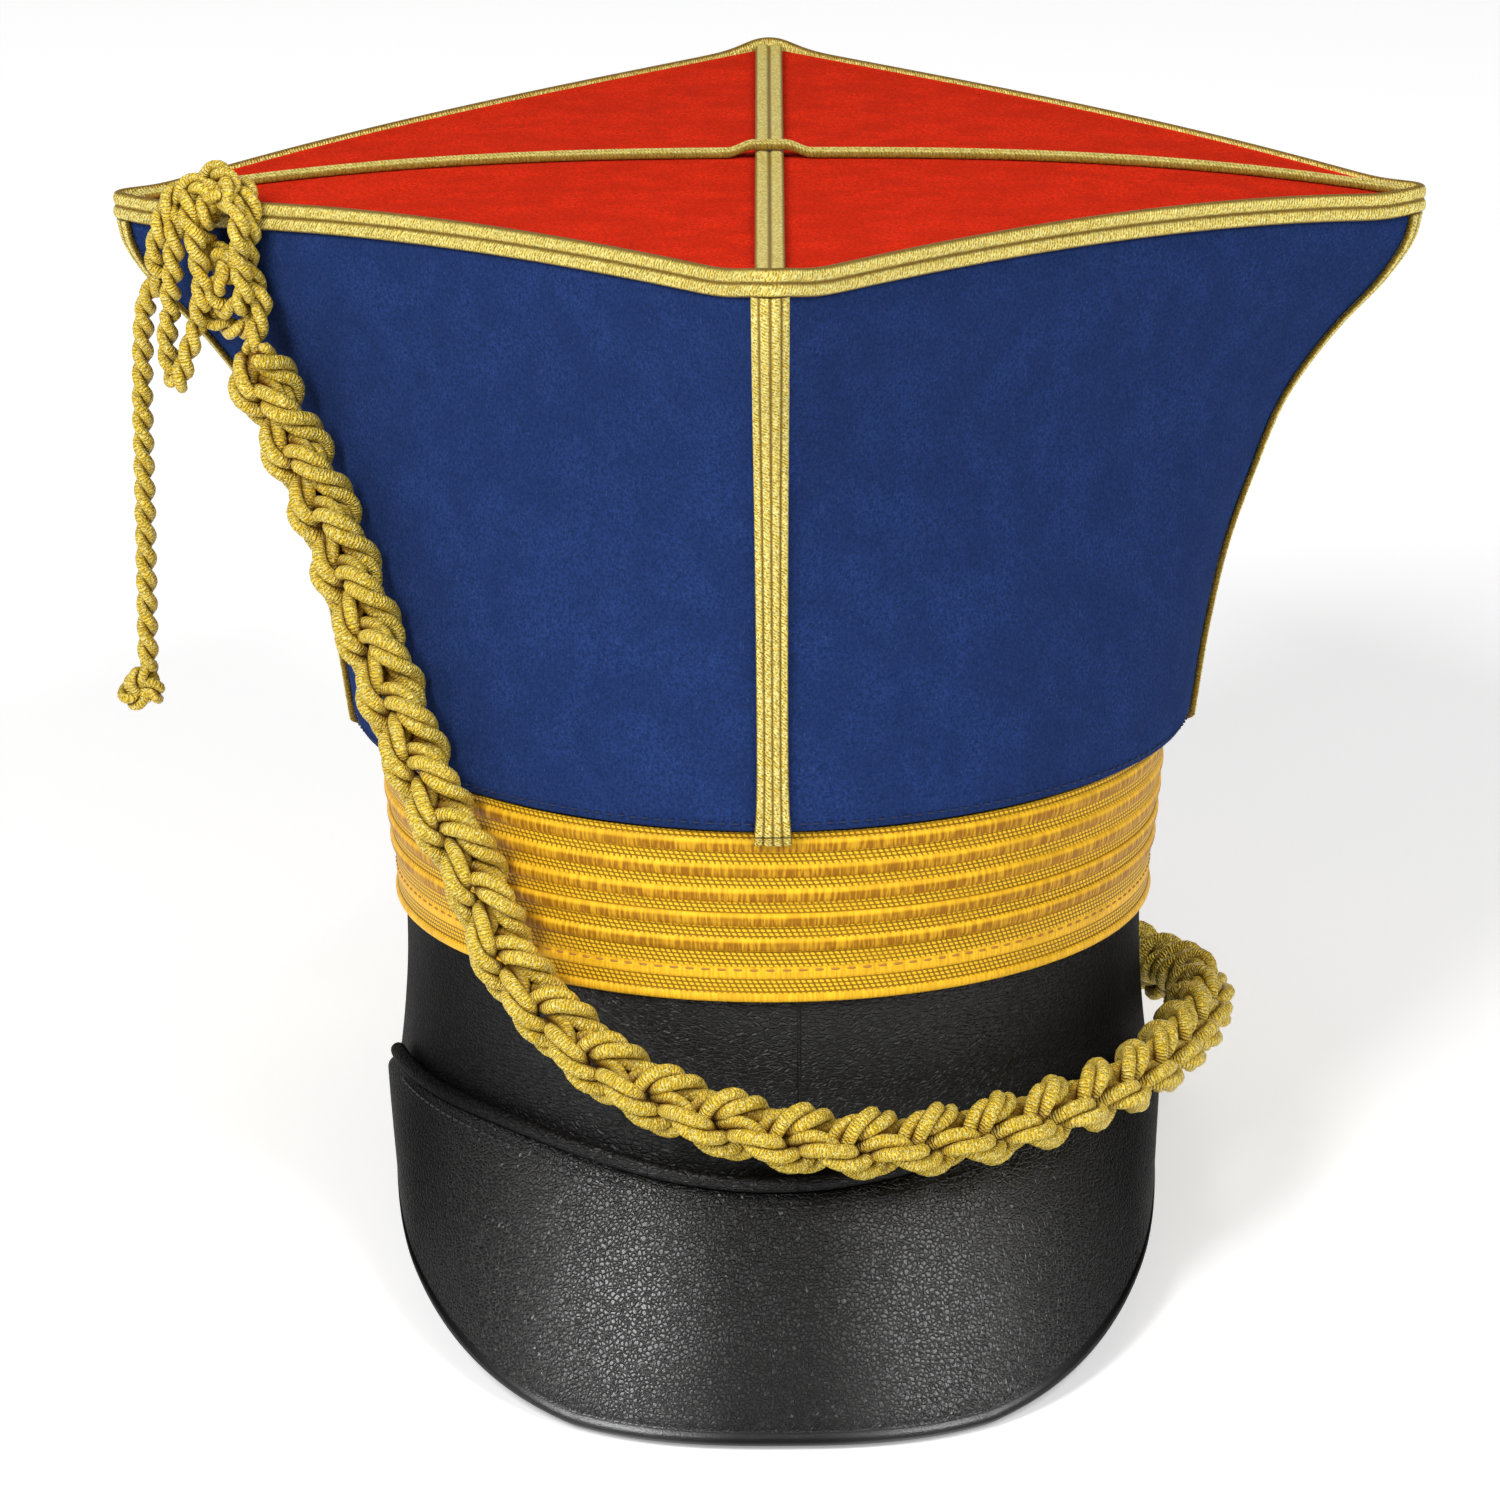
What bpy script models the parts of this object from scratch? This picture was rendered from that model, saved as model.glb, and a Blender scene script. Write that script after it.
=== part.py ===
"""Lancer's shako: a leather skull and peak, a square-topped cloth body and gold braid.

Everything is modelled upright in the hat's own frame: the skull's axis is Z, the peak
points to -Y and the skull's rim lies at z = 0. An empty then tilts the whole hat back
until it rests on the peak's front edge and on the back of the rim, and sets it down
with the middle of its footprint at the origin. Lengths are in metres.
"""
import math

import bpy
import bmesh
import numpy as np

CLEARANCE = 0.0003

# Leather skull: an oval tube, drawn in at its waist
SKULL_WIDTH = 0.171
SKULL_DEPTH = 0.202
SKULL_HEIGHT = 0.0827
SKULL_WALL = 0.0025
SKULL_WAIST = 0.0031
SKULL_FLARE = 0.0008
WAIST_SHAPE = ((0.0, 0.0), (0.18, 0.62), (0.36, 0.97), (0.45, 1.0), (0.62, 0.86), (0.8, 0.42), (1.0, 0.0))

# Waist band of ribbed silk lace
BAND_HEIGHT = 0.0385
BAND_THICKNESS = 0.0013
BAND_RIBS = 5
BAND_RIB_RISE = 0.0006

# Cloth body: an oval at its foot, a square with hollow sides at its top
BODY_HEIGHT = 0.127
FOOT_WIDTH = 0.187
FOOT_DEPTH = 0.212
FOOT_TURN_IN = 0.009
TOP_DIAGONAL = 0.287
CLOTH_WALL = 0.0025
CORNER_SOFTNESS = 0.02
QUARTER_STEPS = 12
CORNER_SPREAD = ((0.0, 0.0), (0.19, 0.07), (0.35, 0.155), (0.48, 0.26), (0.65, 0.43), (0.77, 0.635),
                 (0.87, 0.85), (0.95, 0.97), (1.0, 1.0))
SECTION_POWER = ((0.0, 1.85), (0.2, 1.72), (0.5, 1.35), (0.8, 1.04), (1.0, 0.92))
BODY_LEVELS = (0.12, 0.26, 0.4, 0.54, 0.66, 0.76, 0.84, 0.9, 0.95, 1.0)

# Top cloth: level along the middle, drooping towards its side corners
TOP_THICKNESS = 0.0025
SIDE_DROOP = 0.0097
DROOP_POWER = 2.6

# Gold braids
EDGE_BRAID_WIDTH = 0.006
EDGE_BRAID_THICKNESS = 0.0017
EDGE_BRAID_ABOVE = 0.001
CORNER_LIFT = 0.0018
CORNER_LIFT_REACH = 0.007
CROSS_BRAID_WIDTH = 0.0063
CROSS_BRAID_THICKNESS = 0.0015
CROSSING_RAMP = 0.006
CORNER_BRAID_WIDTH = 0.0066
CORNER_BRAID_THICKNESS = 0.0013
RIB_HOLLOW = 0.35

# Leather peak and the rolled welt over its root
PEAK_LENGTH = 0.0548
PEAK_SLOPE = math.radians(60)
PEAK_THICKNESS = 0.0024
PEAK_BULGE = 0.0022
PEAK_WIDTH = 0.175
PEAK_ROOT_HEIGHT = 0.002
PEAK_ROOT_RISE = 0.007
PEAK_REACH = math.radians(79)
PEAK_FLAT_SHARE = 0.93
HORN_HEIGHT = 0.006
EDGE_REACH = math.radians(86.75)
EDGE_POWER = 2.65
PEAK_ASIDE = 0.0015
WELT_RADIUS = 0.0018

# Gold cords, each along its own chosen points in the hat's frame
ROUTE_STEP = 0.015
PLAIT_DIAMETER = 0.0155
PLAIT_ROUTE = (
    (-0.1135, -0.0308, 0.1722), (-0.1072, -0.0338, 0.1590), (-0.0992, -0.0408, 0.1435), (-0.0890, -0.0560, 0.1200),
    (-0.0790, -0.0702, 0.0960), (-0.0730, -0.0772, 0.0830), (-0.0640, -0.0835, 0.0675), (-0.0570, -0.0885, 0.0500),
    (-0.0470, -0.0950, 0.0390), (-0.0350, -0.1025, 0.0300), (-0.0200, -0.1085, 0.0235), (0.0000, -0.1115, 0.0180),
    (0.0240, -0.1085, 0.0150), (0.0450, -0.0995, 0.0150), (0.0620, -0.0870, 0.0160), (0.0790, -0.0660, 0.0170),
    (0.0906, -0.0380, 0.0180), (0.0962, -0.0120, 0.0185), (0.0962, 0.0070, 0.0175), (0.0926, 0.0270, 0.0140),
    (0.0870, 0.0430, 0.0125), (0.0725, 0.0695, 0.0125), (0.0510, 0.0915, 0.0130), (0.0230, 0.1065, 0.0140),
    (0.0000, 0.1095, 0.0150), (-0.0260, 0.1050, 0.0190), (-0.0440, 0.0950, 0.0290), (-0.0570, 0.0885, 0.0500),
    (-0.0640, 0.0835, 0.0675), (-0.0730, 0.0772, 0.0830), (-0.0790, 0.0702, 0.0960), (-0.0890, 0.0560, 0.1200),
    (-0.0990, 0.0405, 0.1435), (-0.1070, 0.0325, 0.1590), (-0.1134, 0.0299, 0.1740), (-0.1189, 0.0300, 0.1840))
CORD_DIAMETER = 0.005
CORD_ROUTE = ((-0.1334, -0.0219, 0.1878), (-0.1368, -0.0175, 0.1830), (-0.1381, -0.0140, 0.1770),
              (-0.1389, -0.0110, 0.1670), (-0.1397, -0.0040, 0.1320), (-0.1404, 0.0029, 0.0975))
LOOP_ROUTE = ((-0.1318, -0.0205, 0.1800), (-0.1328, -0.0180, 0.1740), (-0.1327, -0.0164, 0.1685),
              (-0.1318, -0.0170, 0.1645), (-0.1308, -0.0190, 0.1634), (-0.1297, -0.0211, 0.1648),
              (-0.1288, -0.0222, 0.1690), (-0.1272, -0.0230, 0.1733), (-0.1256, -0.0238, 0.1782))
KNOT_CENTRE = (-0.1240, -0.0294, 0.1945)
KNOT_LEAN = math.radians(24)
KNOT_SIZE = (0.024, 0.0135, 0.037)
END_KNOT_SIZE = (0.0095, 0.0095, 0.0145)

BODY_FOOT = SKULL_HEIGHT + CLEARANCE
CROWN = BODY_FOOT + BODY_HEIGHT


def through(table, place):
    """Smooth curve through a short table of (place, value), read at one place or many."""
    places, values = np.array(table).T
    slopes = np.gradient(values, places)
    place = np.clip(place, places[0], places[-1])
    span = np.clip(np.searchsorted(places, place, side="right") - 1, 0, len(places) - 2)
    width = places[span + 1] - places[span]
    s = (place - places[span]) / width
    start = (1 + 2 * s) * (1 - s) ** 2 * values[span] + s * (1 - s) ** 2 * width * slopes[span]
    end = s ** 2 * (3 - 2 * s) * values[span + 1] + s ** 2 * (s - 1) * width * slopes[span + 1]
    return start + end


def plan_angle(turn):
    """Plan angle for a turn counted in quarters, with whole turns at the four corners.

    Even steps of the turn give angles that draw together towards the corners.
    """
    corner = np.floor(turn)
    return (corner + (1 - np.cos(np.pi * (turn - corner))) / 2) * math.pi / 2


def skull_point(angle, height, outside=0.0):
    """Point on the skull's oval at a height, moved out from its surface."""
    share = height / SKULL_HEIGHT
    offset = outside + SKULL_FLARE * share - SKULL_WAIST * through(WAIST_SHAPE, share)
    return np.stack(np.broadcast_arrays((SKULL_WIDTH / 2 + offset) * np.cos(angle),
                                        (SKULL_DEPTH / 2 + offset) * np.sin(angle), height), axis=-1)


def body_plan(angle, level, inset=0.0):
    """Plan point of the body's section at a level from 0 at its foot to 1 at its top."""
    spread = through(CORNER_SPREAD, level)
    across = FOOT_WIDTH / 2 + (TOP_DIAGONAL - FOOT_WIDTH) / 2 * spread - inset
    along = FOOT_DEPTH / 2 + (TOP_DIAGONAL - FOOT_DEPTH) / 2 * spread - inset
    power = through(SECTION_POWER, level)
    cosine = np.hypot(np.cos(angle), CORNER_SOFTNESS)
    sine = np.hypot(np.sin(angle), CORNER_SOFTNESS)
    reach = ((cosine / across) ** power + (sine / along) ** power) ** (-1 / power)
    softened = ((1 + CORNER_SOFTNESS ** 2) ** (power / 2) + CORNER_SOFTNESS ** power) ** (1 / power)
    return reach * softened * np.cos(angle), reach * softened * np.sin(angle)


def outside_body(angle, level, offset):
    """Plan point at a distance outside the body's section, along the section's normal."""
    step = 0.002
    x, y = body_plan(angle, level)
    ahead = np.array(body_plan(angle + step, level))
    behind = np.array(body_plan(angle - step, level))
    along = (ahead - behind) / np.linalg.norm(ahead - behind, axis=0)
    return x + offset * along[1], y - offset * along[0]


def top_height(x):
    """Height of the top cloth's upper face, which droops towards the side corners."""
    share = np.clip(np.abs(x) / (TOP_DIAGONAL / 2), 0, 1)
    return CROWN - SIDE_DROOP * share ** DROOP_POWER


def body_height(angle, level):
    """Height at a level of the body, whose top edge follows the underside of the top cloth."""
    x, _ = body_plan(angle, 1.0)
    rim = top_height(x) - TOP_THICKNESS - CLEARANCE
    return BODY_FOOT + (rim - BODY_FOOT) * level


def smooth_route(points, spacing):
    """Points at an even spacing along a smooth curve through a cord's own points."""
    points = np.array(points, float)
    lengths = np.linalg.norm(np.diff(points, axis=0), axis=1)
    places = np.concatenate([[0], np.cumsum(lengths)])
    fine = np.linspace(0, places[-1], 600)
    curve = np.stack([through(np.stack([places, axis], axis=1), fine) for axis in points.T], axis=1)
    run = np.concatenate([[0], np.cumsum(np.linalg.norm(np.diff(curve, axis=0), axis=1))])
    count = max(3, round(run[-1] / spacing))
    return np.stack([np.interp(np.linspace(0, run[-1], count + 1), run, axis) for axis in curve.T], axis=1)


def material(name, colour, roughness, metallic=0.0):
    """Principled material with a plain colour."""
    made = bpy.data.materials.new(name)
    made.use_nodes = True
    shader = made.node_tree.nodes["Principled BSDF"]
    shader.inputs["Base Color"].default_value = (*colour, 1)
    shader.inputs["Roughness"].default_value = roughness
    shader.inputs["Metallic"].default_value = metallic
    return made


def place(obj, hat, collection, look):
    """Put a finished piece in the collection, under the hat's empty, with its material."""
    collection.objects.link(obj)
    obj.parent = hat
    obj.data.materials.append(look)
    return obj


def shell(name, outer, inner, closed=False):
    """Solid between two grids of points, closed round its rows' ends or at its open rims."""
    rows, columns = outer.shape[:2]
    mesh = bmesh.new()
    grids = [[[mesh.verts.new(point) for point in row] for row in grid.tolist()] for grid in (outer, inner)]
    steps = rows if closed else rows - 1
    for row in range(steps):
        after = (row + 1) % rows
        for column in range(columns - 1):
            for grid in grids:
                mesh.faces.new((grid[row][column], grid[after][column],
                                grid[after][column + 1], grid[row][column + 1]))
        for column in (0, columns - 1):
            mesh.faces.new((grids[0][row][column], grids[0][after][column],
                            grids[1][after][column], grids[1][row][column]))
    if not closed:
        for row in (0, rows - 1):
            for column in range(columns - 1):
                mesh.faces.new((grids[0][row][column], grids[0][row][column + 1],
                                grids[1][row][column + 1], grids[1][row][column]))
    bmesh.ops.recalc_face_normals(mesh, faces=mesh.faces)
    data = bpy.data.meshes.new(name)
    mesh.to_mesh(data)
    mesh.free()
    data.shade_smooth()
    data.set_sharp_from_angle(angle=math.radians(40))
    return bpy.data.objects.new(name, data)


def tube(name, points, diameter, resolution):
    """Round tube along a list of points, with flat ends."""
    curve = bpy.data.curves.new(name, "CURVE")
    curve.dimensions = "3D"
    curve.bevel_depth = diameter / 2
    curve.bevel_resolution = resolution
    curve.use_fill_caps = True
    spline = curve.splines.new("POLY")
    spline.points.add(len(points) - 1)
    for spot, point in zip(spline.points, points):
        spot.co = (*point, 1)
    return bpy.data.objects.new(name, curve)


def lump(name, centre, size, turned):
    """Soft egg-shaped solid for a knot, turned by an Euler rotation."""
    data = bpy.data.meshes.new(name)
    mesh = bmesh.new()
    bmesh.ops.create_uvsphere(mesh, u_segments=12, v_segments=8, radius=0.5)
    bmesh.ops.scale(mesh, vec=size, verts=mesh.verts)
    mesh.to_mesh(data)
    mesh.free()
    data.shade_smooth()
    knot = bpy.data.objects.new(name, data)
    knot.location = centre
    knot.rotation_euler = turned
    return knot


def make_skull():
    """Oval leather tube with an even wall."""
    angle = np.linspace(0, 2 * math.pi, 48, endpoint=False)[:, None]
    height = np.linspace(0, SKULL_HEIGHT, 6)[None, :]
    return shell("skull", skull_point(angle, height), skull_point(angle, height, -SKULL_WALL), closed=True)


def make_waist_band():
    """Lace band round the top of the skull, with rounded ribs."""
    angle = np.linspace(0, 2 * math.pi, 48, endpoint=False)[:, None]
    foot = SKULL_HEIGHT - BAND_HEIGHT
    height = np.linspace(foot, SKULL_HEIGHT, 2 * BAND_RIBS + 1)[None, :]
    rise = BAND_RIB_RISE * (np.arange(2 * BAND_RIBS + 1) % 2)[None, :]
    outer = skull_point(angle, height, CLEARANCE + BAND_THICKNESS + rise)
    return shell("waist_band", outer, skull_point(angle, height, CLEARANCE), closed=True)


def make_panel(name, corner):
    """One quarter of the cloth body between two corners, with its foot turned in."""
    margin = CLEARANCE / FOOT_WIDTH
    angle = plan_angle(corner + np.arange(QUARTER_STEPS + 1) / QUARTER_STEPS)
    angle[-1] = (corner + 1) * math.pi / 2 - margin
    angle[0] += margin
    wall = CLOTH_WALL
    foot_rows = ((FOOT_TURN_IN, 0, FOOT_TURN_IN, wall), (0.9 * wall, 0, 1.25 * wall, wall),
                 (0.25 * wall, 0.25 * wall, 1.08 * wall, 1.08 * wall), (0, 0.9 * wall, wall, 1.25 * wall))
    outer, inner = [], []
    for inset, rise, inner_inset, inner_rise in foot_rows:
        for rows, inward, up in ((outer, inset, rise), (inner, inner_inset, inner_rise)):
            x, y = body_plan(angle, 0.0, inward)
            rows.append(np.stack([x, y, np.full_like(x, BODY_FOOT + up)], axis=-1))
    for level in BODY_LEVELS:
        mitre = wall * (1 + (math.sqrt(2) - 1) * level)
        height = body_height(angle, level)
        for rows, inward in ((outer, 0), (inner, mitre)):
            x, y = body_plan(angle, level, inward)
            rows.append(np.stack([x, y, height], axis=-1))
    return shell(name, np.array(outer), np.array(inner))


def make_top_cloth():
    """Square top whose outline is the body's, laid over the panels' top edges."""
    steps = np.linspace(-1, 1, QUARTER_STEPS + 1)
    across, along = np.meshgrid(steps, steps, indexing="ij")
    share = np.maximum(np.abs(across), np.abs(along))
    wide = np.abs(across) >= np.abs(along)
    slant = np.where(wide, along, -across) / np.where(share == 0, 1, np.where(wide, across, along))
    side = np.where(wide, np.where(across < 0, 2, 0), np.where(along < 0, 3, 1))
    turn = side + 0.5 + slant / 2
    x, y = body_plan(plan_angle(turn), 1.0)
    x, y = x * share, y * share
    upper = np.stack([x, y, top_height(x)], axis=-1)
    lower = np.stack([x, y, top_height(x) - TOP_THICKNESS], axis=-1)
    return shell("top_cloth", upper, lower)


def make_top_edge_braid():
    """Two-ribbed braid round the top's edge, lifted where the cross braids end under it."""
    angle = plan_angle(np.arange(4 * QUARTER_STEPS) / QUARTER_STEPS)[:, None]
    spots = np.array([0.0, 0.25, 0.5, 0.75, 1.0])[None, :]
    ribs = 1 - RIB_HOLLOW * (np.arange(5) % 2 == 0)[None, :]
    from_corner = np.abs((angle + math.pi / 4) % (math.pi / 2) - math.pi / 4) * TOP_DIAGONAL / 2
    lift = CORNER_LIFT * np.exp(-(from_corner / CORNER_LIFT_REACH) ** 2)
    edge_x, _ = body_plan(angle, 1.0)
    height = top_height(edge_x) + EDGE_BRAID_ABOVE + lift - EDGE_BRAID_WIDTH * spots
    level = np.clip((height - BODY_FOOT) / (body_height(angle, 1.0) - BODY_FOOT), 0, 1)
    grids = []
    for offset in (CLEARANCE + EDGE_BRAID_THICKNESS * ribs, np.full_like(ribs, CLEARANCE)):
        x, y = outside_body(angle, level, offset)
        grids.append(np.stack([x, y, height], axis=-1))
    return shell("top_edge_braid", *grids, closed=True)


def make_cross_braid(name, side_to_side):
    """Two-ribbed braid from corner to corner of the top; the side one rides over the other."""
    corner_turn = (CROSS_BRAID_WIDTH / 2 + CLEARANCE) / (TOP_DIAGONAL / 2)
    reach = body_plan(corner_turn, 1.0)[0] - CLEARANCE
    over = CROSS_BRAID_WIDTH / 2 + CLEARANCE
    ramp = [over, over + CROSSING_RAMP / 2, over + CROSSING_RAMP]
    half = np.concatenate([ramp, np.linspace(over + 2 * CROSSING_RAMP, reach, 6)])
    run = np.concatenate([-half[::-1], [0.0], half])[:, None]
    spots = np.linspace(-1, 1, 5)[None, :]
    ribs = 1 - RIB_HOLLOW * (np.arange(5) % 2 == 0)[None, :]
    aside = CROSS_BRAID_WIDTH / 2 * spots + 0 * run
    run = run + 0 * spots
    x, y = (run, aside) if side_to_side else (aside, run)
    share = np.clip((over + CROSSING_RAMP - np.abs(run)) / CROSSING_RAMP, 0, 1)
    crossing = (CROSS_BRAID_THICKNESS + CLEARANCE) * share ** 2 * (3 - 2 * share)
    seat = top_height(x) + CLEARANCE + (crossing if side_to_side else 0)
    upper = np.stack([x, y, seat + CROSS_BRAID_THICKNESS * ribs], axis=-1)
    return shell(name, upper, np.stack([x, y, seat], axis=-1))


def make_corner_braid(name, corner):
    """Four-ribbed braid down one corner of the body, from the edge braid to the foot."""
    spots = np.linspace(-1, 1, 9)[None, :]
    ribs = 1 - RIB_HOLLOW * (np.arange(9) % 2 == 0)[None, :]
    middle = corner * math.pi / 2
    rim = body_height(middle, 1.0) + TOP_THICKNESS + CLEARANCE
    below = rim + EDGE_BRAID_ABOVE - EDGE_BRAID_WIDTH - CLEARANCE
    top_level = (below - BODY_FOOT) / (body_height(middle, 1.0) - BODY_FOOT)
    shared = [level for level in BODY_LEVELS if level < top_level - 0.01]
    level = np.array([CLOTH_WALL / BODY_HEIGHT, *shared, top_level])[:, None]
    radius = np.hypot(*body_plan(middle, level))
    angle = middle + CORNER_BRAID_WIDTH / 2 * spots / radius
    height = BODY_FOOT + (body_height(middle, 1.0) - BODY_FOOT) * level + 0 * angle
    grids = []
    for offset in (CLEARANCE + CORNER_BRAID_THICKNESS * ribs, np.full_like(ribs, CLEARANCE)):
        x, y = outside_body(angle, level, offset)
        grids.append(np.stack([x, y, height], axis=-1))
    return shell(name, *grids)


def peak_root(share, outside):
    """Point of the peak's root round the skull; share runs from -1 to 1 between the horns."""
    turned = share * PEAK_REACH
    rise = np.sin(np.clip(np.abs(turned) * 1.8, 0, math.pi / 2)) ** 2
    return skull_point(turned - math.pi / 2, PEAK_ROOT_HEIGHT + PEAK_ROOT_RISE * rise, outside)


def peak_edge(share):
    """Point of the peak's edge: flat to the ground in front, rising to the horns."""
    root_offset = CLEARANCE + PEAK_THICKNESS
    reach = SKULL_DEPTH / 2 + root_offset + PEAK_LENGTH * math.cos(PEAK_SLOPE)
    drop = PEAK_LENGTH * math.sin(PEAK_SLOPE) - PEAK_ROOT_HEIGHT
    turned = share * EDGE_REACH
    x = PEAK_WIDTH / 2 * np.sign(turned) * np.abs(np.sin(turned)) ** (2 / EDGE_POWER)
    x = x + PEAK_ASIDE * np.cos(turned)
    y = -reach * np.abs(np.cos(turned)) ** (2 / EDGE_POWER)
    ground = (y - SKULL_DEPTH / 2) * drop / (reach + SKULL_DEPTH / 2)
    horn_lift = HORN_HEIGHT + SKULL_DEPTH / 2 * drop / (reach + SKULL_DEPTH / 2)
    flat = PEAK_FLAT_SHARE * reach
    lift = horn_lift * np.clip((y + flat) / flat, 0, 1)
    return np.stack([x, y, ground + lift], axis=-1)


def make_peak():
    """Leather peak between its root on the skull and its edge, slightly domed."""
    share = np.linspace(-1, 1, 29)
    root = peak_root(share, CLEARANCE + PEAK_THICKNESS)
    edge = peak_edge(share)
    turned = share * PEAK_REACH
    outward = np.stack([np.sin(turned), -np.cos(turned), 0 * turned], axis=-1)
    up = np.array([0, 0, 1])
    outer, inner = [], []
    for out in np.linspace(0, 1, 5):
        dome = PEAK_BULGE * math.sin(math.pi * out) * (math.sin(PEAK_SLOPE) * outward + math.cos(PEAK_SLOPE) * up)
        face = root + (edge - root) * out + dome
        lean = (math.pi / 2 - PEAK_SLOPE) * min(1, 2 * out)
        outer.append(face)
        inner.append(face - PEAK_THICKNESS * (math.cos(lean) * outward + math.sin(lean) * up))
    return shell("peak", np.array(outer), np.array(inner))


def make_peak_welt():
    """Rolled leather over the peak's root."""
    share = np.linspace(-1, 1, 33)
    points = peak_root(share, CLEARANCE + WELT_RADIUS)
    points[:, 2] += CLEARANCE + WELT_RADIUS
    return tube("peak_welt", points, 2 * WELT_RADIUS, 2)


def make_cord(name, route, diameter):
    """Tube along a smooth curve through a cord's own points."""
    return tube(name, smooth_route(route, ROUTE_STEP), diameter, 2)


def make_corner_knot():
    """Knot of the cap line, laid against the front left panel at the left corner."""
    return lump("corner_knot", KNOT_CENTRE, KNOT_SIZE, (KNOT_LEAN, 0, -math.pi / 4))


def make_cord_end_knot(tilt):
    """Knot that hangs from the end of the free cord."""
    end = np.array(CORD_ROUTE[-1])
    plumb = np.array([0, math.sin(tilt), -math.cos(tilt)])
    centre = end + (END_KNOT_SIZE[2] / 2 + CLEARANCE) * plumb
    return lump("cord_end_knot", tuple(centre), END_KNOT_SIZE, (tilt, 0, 0))


def lowest(points, tilt):
    """Lowest height of a set of points once the hat is tilted back."""
    return (points[:, 2] * math.cos(tilt) - points[:, 1] * math.sin(tilt)).min()


def corners(obj):
    """A mesh object's vertices in the hat's frame."""
    flat = np.empty(3 * len(obj.data.vertices))
    obj.data.vertices.foreach_get("co", flat)
    return flat.reshape(-1, 3)


def rest_tilt(skull, peak):
    """Angle at which the peak's edge and the back of the rim touch the same level."""
    rim, edge = corners(skull), corners(peak)
    low, high = 0.0, math.radians(40)
    for _ in range(50):
        middle = (low + high) / 2
        if lowest(edge, middle) < lowest(rim, middle):
            low = middle
        else:
            high = middle
    return (low + high) / 2


def set_down(hat, tilt, standing):
    """Tilt the hat back and set it down with the middle of its footprint at the origin."""
    points = np.concatenate([corners(obj) for obj in standing])
    across = points[:, 0]
    along = points[:, 1] * math.cos(tilt) + points[:, 2] * math.sin(tilt)
    hat.rotation_euler = (-tilt, 0, 0)
    hat.location = (-(across.min() + across.max()) / 2, -(along.min() + along.max()) / 2, -lowest(points, tilt))


def main():
    for obj in list(bpy.data.objects):
        bpy.data.objects.remove(obj, do_unlink=True)
    collection = bpy.data.collections.new("lancer_shako")
    bpy.context.scene.collection.children.link(collection)
    hat = bpy.data.objects.new("hat", None)
    collection.objects.link(hat)

    leather = material("black_leather", (0.012, 0.012, 0.013), 0.38)
    blue_cloth = material("blue_wool", (0.014, 0.034, 0.17), 0.95)
    red_cloth = material("red_wool", (0.62, 0.02, 0.008), 0.92)
    gold_braid = material("gold_braid", (0.75, 0.5, 0.12), 0.4, 0.8)
    silk_lace = material("silk_lace", (0.78, 0.38, 0.02), 0.45)
    gold_cord = material("gold_cord", (0.72, 0.46, 0.1), 0.42, 0.8)

    skull = place(make_skull(), hat, collection, leather)
    peak = place(make_peak(), hat, collection, leather)
    standing = [skull, peak, place(make_waist_band(), hat, collection, silk_lace)]
    standing.append(place(make_top_cloth(), hat, collection, red_cloth))
    standing.append(place(make_top_edge_braid(), hat, collection, gold_braid))
    for name, corner in (("panel_back_right", 0), ("panel_back_left", 1), ("panel_front_left", 2),
                         ("panel_front_right", 3)):
        standing.append(place(make_panel(name, corner), hat, collection, blue_cloth))
    for name, corner in (("corner_braid_right", 0), ("corner_braid_back", 1), ("corner_braid_left", 2),
                         ("corner_braid_front", 3)):
        standing.append(place(make_corner_braid(name, corner), hat, collection, gold_braid))
    standing.append(place(make_cross_braid("cross_braid_long", False), hat, collection, gold_braid))
    standing.append(place(make_cross_braid("cross_braid_side", True), hat, collection, gold_braid))
    place(make_peak_welt(), hat, collection, leather)

    tilt = rest_tilt(skull, peak)
    place(make_cord("plait", PLAIT_ROUTE, PLAIT_DIAMETER), hat, collection, gold_cord)
    place(make_cord("hanging_cord", CORD_ROUTE, CORD_DIAMETER), hat, collection, gold_cord)
    place(make_cord("hanging_loop", LOOP_ROUTE, CORD_DIAMETER), hat, collection, gold_cord)
    place(make_corner_knot(), hat, collection, gold_cord)
    place(make_cord_end_knot(tilt), hat, collection, gold_cord)
    set_down(hat, tilt, standing)


main()
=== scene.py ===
"""Looks of the lancer's shako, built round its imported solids.

Lengths are in metres. Shapes are worked out in the hat's own upright frame, with the skull's
axis on Z and the peak towards -Y, and then turned to the resting frame of the solids. Each
piece is a grid of points from two parameters, or a profile carried along a path.
"""
import math

import bpy
import numpy as np
from mathutils import Matrix, Vector


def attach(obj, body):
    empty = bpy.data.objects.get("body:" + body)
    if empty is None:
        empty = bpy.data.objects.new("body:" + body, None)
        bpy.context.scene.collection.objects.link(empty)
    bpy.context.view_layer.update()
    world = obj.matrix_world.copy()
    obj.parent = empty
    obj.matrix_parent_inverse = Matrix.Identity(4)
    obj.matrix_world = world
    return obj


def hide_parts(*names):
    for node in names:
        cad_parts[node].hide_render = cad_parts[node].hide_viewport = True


bl_info = {
    "name": "Lancer's shako",
    "version": (1, 0, 0),
    "blender": (4, 5, 0),
    "location": "3D View > Sidebar > Shako",
    "description": "Builds the cloth, leather, lace and gold cords of a lancer's shako",
    "category": "Object",
}

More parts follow.
